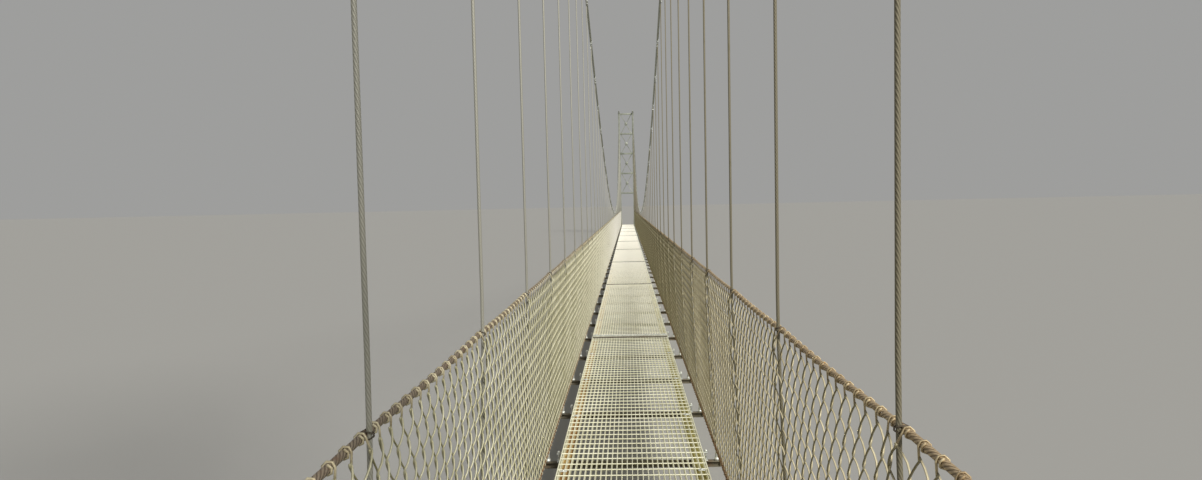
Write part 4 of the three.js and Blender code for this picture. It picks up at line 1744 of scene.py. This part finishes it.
        hand_over(Bench.join(f"{end.label}_{side.label}_cable_saddle", parts), Slot.CASTING, node)

    def build(self) -> None:
        """Makes both towers."""
        for end in End:
            self.bracing(end)
            for side in Side:
                self.column(end, side)
                self.saddle(end, side)


@dataclass
class Anchorage:
    """Concrete anchors with plate, yokes, threaded rods and poured socket, and the abutments."""

    span: Span
    concrete: Material
    cast: Material
    zinc: Material
    abutment_bevel: float = 0.006
    block_bevel: float = 0.008
    plate_half: float = 0.08
    plate_seat: float = 0.0003
    plate_depth: float = 0.0125
    plate_bevel: float = 0.002
    yoke_depth: float = 0.045
    yoke_half: float = 0.0375
    yoke_bevel: float = 0.003
    rod_radius: float = 0.007
    rod_spacing: float = 0.045
    rod_tail: float = 0.01
    nut_radius: float = 0.0125
    nut_bevel: float = 0.001
    rod_nut_height: float = 0.01
    rod_nut_pitch: float = 0.014
    holding_offset: float = 0.058
    holding_nut_height: float = 0.011
    holding_bolt_radius: float = 0.0065
    holding_bolt_height: float = 0.02
    socket_length: float = 0.13
    socket_sink: float = 0.002
    socket_radii: tuple[float, float] = (0.034, 0.021)
    neck_length: float = 0.03
    neck_radii: tuple[float, float] = (0.017, 0.0115)
    neck_bevel: float = 0.001
    collar_height: float = 0.01
    collar_drops: tuple[float, float] = (0.13, 0.036)
    collar_radii: tuple[float, float] = (0.0365, 0.0235)
    collar_bevel: float = 0.002

    def fitting(self) -> Piece:
        """Models one tension fitting along +Z from the anchor point at the origin.

        Returns:
            The fitting without its plate.
        """
        top = self.span.fitting_length
        socket_foot, neck_foot = top - self.socket_length, top - self.neck_length
        foot, head = self.plate_depth + self.yoke_depth, socket_foot - self.yoke_depth
        half = self.yoke_half
        yokes = [Bench.block("yoke", (-half, -half, low), (half, half, high), self.yoke_bevel)
                 for low, high in ((self.plate_depth, foot), (head, socket_foot))]
        wide, narrow = self.socket_radii
        cone = Bench.round_bar("socket", (0, 0, socket_foot - self.socket_sink), (0, 0, neck_foot), wide,
                               20, narrow, self.collar_bevel)
        wide, narrow = self.neck_radii
        neck = Bench.round_bar("neck", (0, 0, neck_foot), (0, 0, top), wide, 16, narrow, self.neck_bevel)
        collars = [Bench.round_bar("collar", (0, 0, top - drop), (0, 0, top - drop + self.collar_height),
                                   radius, 20, bevel=self.collar_bevel)
                   for drop, radius in zip(self.collar_drops, self.collar_radii)]
        steel = Bench.paint_all([*yokes, cone, neck, *collars], self.cast)
        height, pitch = self.rod_nut_height, self.rod_nut_pitch
        bright = []
        for x in (-self.rod_spacing / 2, self.rod_spacing / 2):
            bright.append(Bench.round_bar("rod", (x, 0, foot - self.rod_tail), (x, 0, head + self.rod_tail),
                                          self.rod_radius, 14))
            bright += [Bench.round_bar("rod_nut", (x, 0, z), (x, 0, z + height), self.nut_radius, 6,
                                       bevel=self.nut_bevel)
                       for z in (foot, foot + pitch, head - pitch - height, head - height)]
        return Bench.join("tension_fitting", [*steel, *Bench.paint_all(bright, self.zinc)])

    def plate(self) -> Piece:
        """Models the anchor plate on the concrete, with its four holding bolts.

        Returns:
            The plate, square to +Z at the origin.
        """
        half, reach, top = self.plate_half, self.holding_offset, self.plate_depth
        plate = Bench.block("plate", (-half, -half, self.plate_seat), (half, half, top), self.plate_bevel)
        nut_top, bolt_top = top + self.holding_nut_height, top + self.holding_bolt_height
        bolts = []
        for x in (-reach, reach):
            for y in (-reach, reach):
                bolts += [Bench.round_bar("plate_nut", (x, y, top), (x, y, nut_top), self.nut_radius, 6,
                                          bevel=self.nut_bevel),
                          Bench.round_bar("plate_bolt", (x, y, top), (x, y, bolt_top),
                                          self.holding_bolt_radius, 10)]
        return Bench.join("anchor_plate", [Bench.paint(plate, self.cast),
                                           *Bench.paint_all(bolts, self.zinc)])

    def mass(self, name: str, node: str, bevel: float) -> None:
        """Finishes one mass of concrete.

        Args:
            name: the piece's name.
            node: the CAD node that it stands for.
            bevel: width of its eased edges.
        """
        hand_over(Bench.paint(Bench.cad_copy(name, node, bevel), self.concrete), Slot.CONCRETE, node)

    def build(self) -> None:
        """Makes the four anchors and the two abutments."""
        span = self.span
        square = Vector((0, math.cos(span.stay_angle), math.sin(span.stay_angle)))
        for end in End:
            self.mass(f"{end.label}_abutment_concrete", f"{end.label}_abutment", self.abutment_bevel)
            for side in Side:
                # Half a turn carries the near anchors to the far end, where left and right change places
                mirror = Vector((-end.value * side.value, 1, 1))
                anchor = end.turn @ Matrix.Translation(span.anchor() * mirror)
                along, flat = (anchor @ way.to_track_quat("Z", "Y").to_matrix().to_4x4()
                               for way in (span.stay() * mirror, square))
                parts = [stamped("fitting", self.fitting(), [along]),
                         stamped("plate", self.plate(), [flat])]
                name = f"{end.label}_{side.label}"
                joined = Bench.join(f"{name}_tension_fitting", parts)
                hand_over(Bench.smooth(joined, 35), Slot.CASTING, f"{name}_anchor_fitting")
                self.mass(f"{name}_anchor_concrete", f"{name}_anchor_block", self.block_bevel)


@dataclass
class Studio:
    """Plain pale floor, soft light and the camera at the photograph's viewpoint."""

    focal_pixels: float = 787.8
    back: float = 0.1485
    eye_height: float = 0.768
    eye_x: float = 0.001
    yaw: float = 0.0346
    pitch: float = 0.0438
    roll: float = 0.0214
    nearest: float = 0.01
    furthest: float = 2000.0
    floor_half: float = 600.0
    floor_tone: str = "989896"
    sky_tone: str = "eeeeec"
    sky_strength: float = 0.4
    key_tone: str = "fffbf4"
    key_strength: float = 3.7
    key_spread: float = math.radians(15)
    key_travel: Triple = (-0.42, 0.6, -0.68)

    def floor(self) -> None:
        """Lays the floor."""
        bpy.ops.object.select_all(action="DESELECT")
        bpy.ops.mesh.primitive_plane_add(size=2 * self.floor_half)
        floor = bpy.context.active_object
        floor.name = "studio_floor"
        material, shader = blank("matt_studio_floor", 0.95, 0.0)
        shader.inputs["Base Color"].default_value = linear(self.floor_tone)
        shader.inputs["Specular IOR Level"].default_value = 0.1
        Bench.paint(floor, material)

    def light(self) -> None:
        """Sets a soft sky and a broad key light from high on the right, behind the camera."""
        world = bpy.data.worlds.new("studio_sky")
        world.use_nodes = True
        sky = world.node_tree.nodes["Background"]
        sky.inputs["Color"].default_value = linear(self.sky_tone)
        sky.inputs["Strength"].default_value = self.sky_strength
        bpy.context.scene.world = world
        bpy.context.scene.view_settings.view_transform = "Standard"
        key = bpy.data.lights.new("key_light", "SUN")
        key.energy = self.key_strength
        key.angle = self.key_spread
        key.color = linear(self.key_tone)[:3]
        lamp = bpy.data.objects.new("key_light", key)
        lamp.rotation_euler = Vector(self.key_travel).to_track_quat("-Z", "Y").to_euler()
        bpy.context.scene.collection.objects.link(lamp)

    def camera(self, span: Span) -> None:
        """Sets the camera on the deck by the near tower.

        Args:
            span: the bridge's sizes.
        """
        right = Vector((math.cos(self.yaw), math.sin(self.yaw), 0))
        forward = Vector((-math.sin(self.yaw) * math.cos(self.pitch),
                          math.cos(self.yaw) * math.cos(self.pitch), -math.sin(self.pitch)))
        up = right.cross(forward)
        turned_right = right * math.cos(self.roll) - up * math.sin(self.roll)
        turned_up = right * math.sin(self.roll) + up * math.cos(self.roll)
        axes = Matrix((turned_right, turned_up, -forward)).transposed().to_4x4()
        lens = bpy.data.cameras.new("photo_camera")
        lens.sensor_width = SENSOR_WIDTH
        lens.lens = SENSOR_WIDTH * self.focal_pixels / PHOTO_WIDTH
        lens.clip_start = self.nearest
        lens.clip_end = self.furthest
        camera = bpy.data.objects.new("photo_camera", lens)
        spot = Vector((self.eye_x, -span.half - self.back, span.deck_top + self.eye_height))
        camera.matrix_world = Matrix.Translation(spot) @ axes
        bpy.context.scene.collection.objects.link(camera)
        bpy.context.scene.camera = camera

    def build(self, span: Span) -> None:
        """Sets the whole studio.

        Args:
            span: the bridge's sizes.
        """
        self.camera(span)
        self.floor()
        self.light()


def sided(*finishes: WeatheredSteel | StrandedRope) -> dict[Side, Material]:
    """Builds a finish for each side of the walk, the left one first."""
    return {side: finish.material() for side, finish in zip(Side, finishes)}


def main() -> None:
    """Builds the studio, the finishes and every sub-assembly."""
    logging.basicConfig(level=logging.INFO, format="%(name)s %(message)s")
    span = Span()
    Studio().build(span)
    looks = Finishes()
    zinc = looks.bright.material()
    tower_steel = looks.tower.material()
    cast_steel = looks.casting.material()
    hangers = sided(looks.left_hanger, looks.right_hanger)
    wires = sided(looks.left_wire, looks.right_wire)
    rails = sided(looks.rail_rope, looks.right_rail_rope)
    hooks = sided(looks.hook_wire, looks.right_hook_wire)
    MainCable(span, looks.main_rope.material()).build()
    Hangers(span, hangers, rails, looks.foot_rope.material()).build()
    HangerFittings(span, hangers[Side.LEFT], zinc, looks.tie_wire.material()).build()
    ChainLink(span, wires, hooks).build()
    # The crossbeams' own finish, also painted on the grating's joints as painted shade
    damp_steel_and_seam_shade = looks.crossbeam.material()
    DeckGrating(span, looks.grating.material(), damp_steel_and_seam_shade, zinc).build()
    DeckFrame(span, sided(looks.left_stringer, looks.right_stringer), damp_steel_and_seam_shade, zinc).build()
    Tower(span, tower_steel, cast_steel, zinc).build()
    Anchorage(span, looks.concrete.material(), cast_steel, zinc).build()


if __name__ == "__main__":
    main()
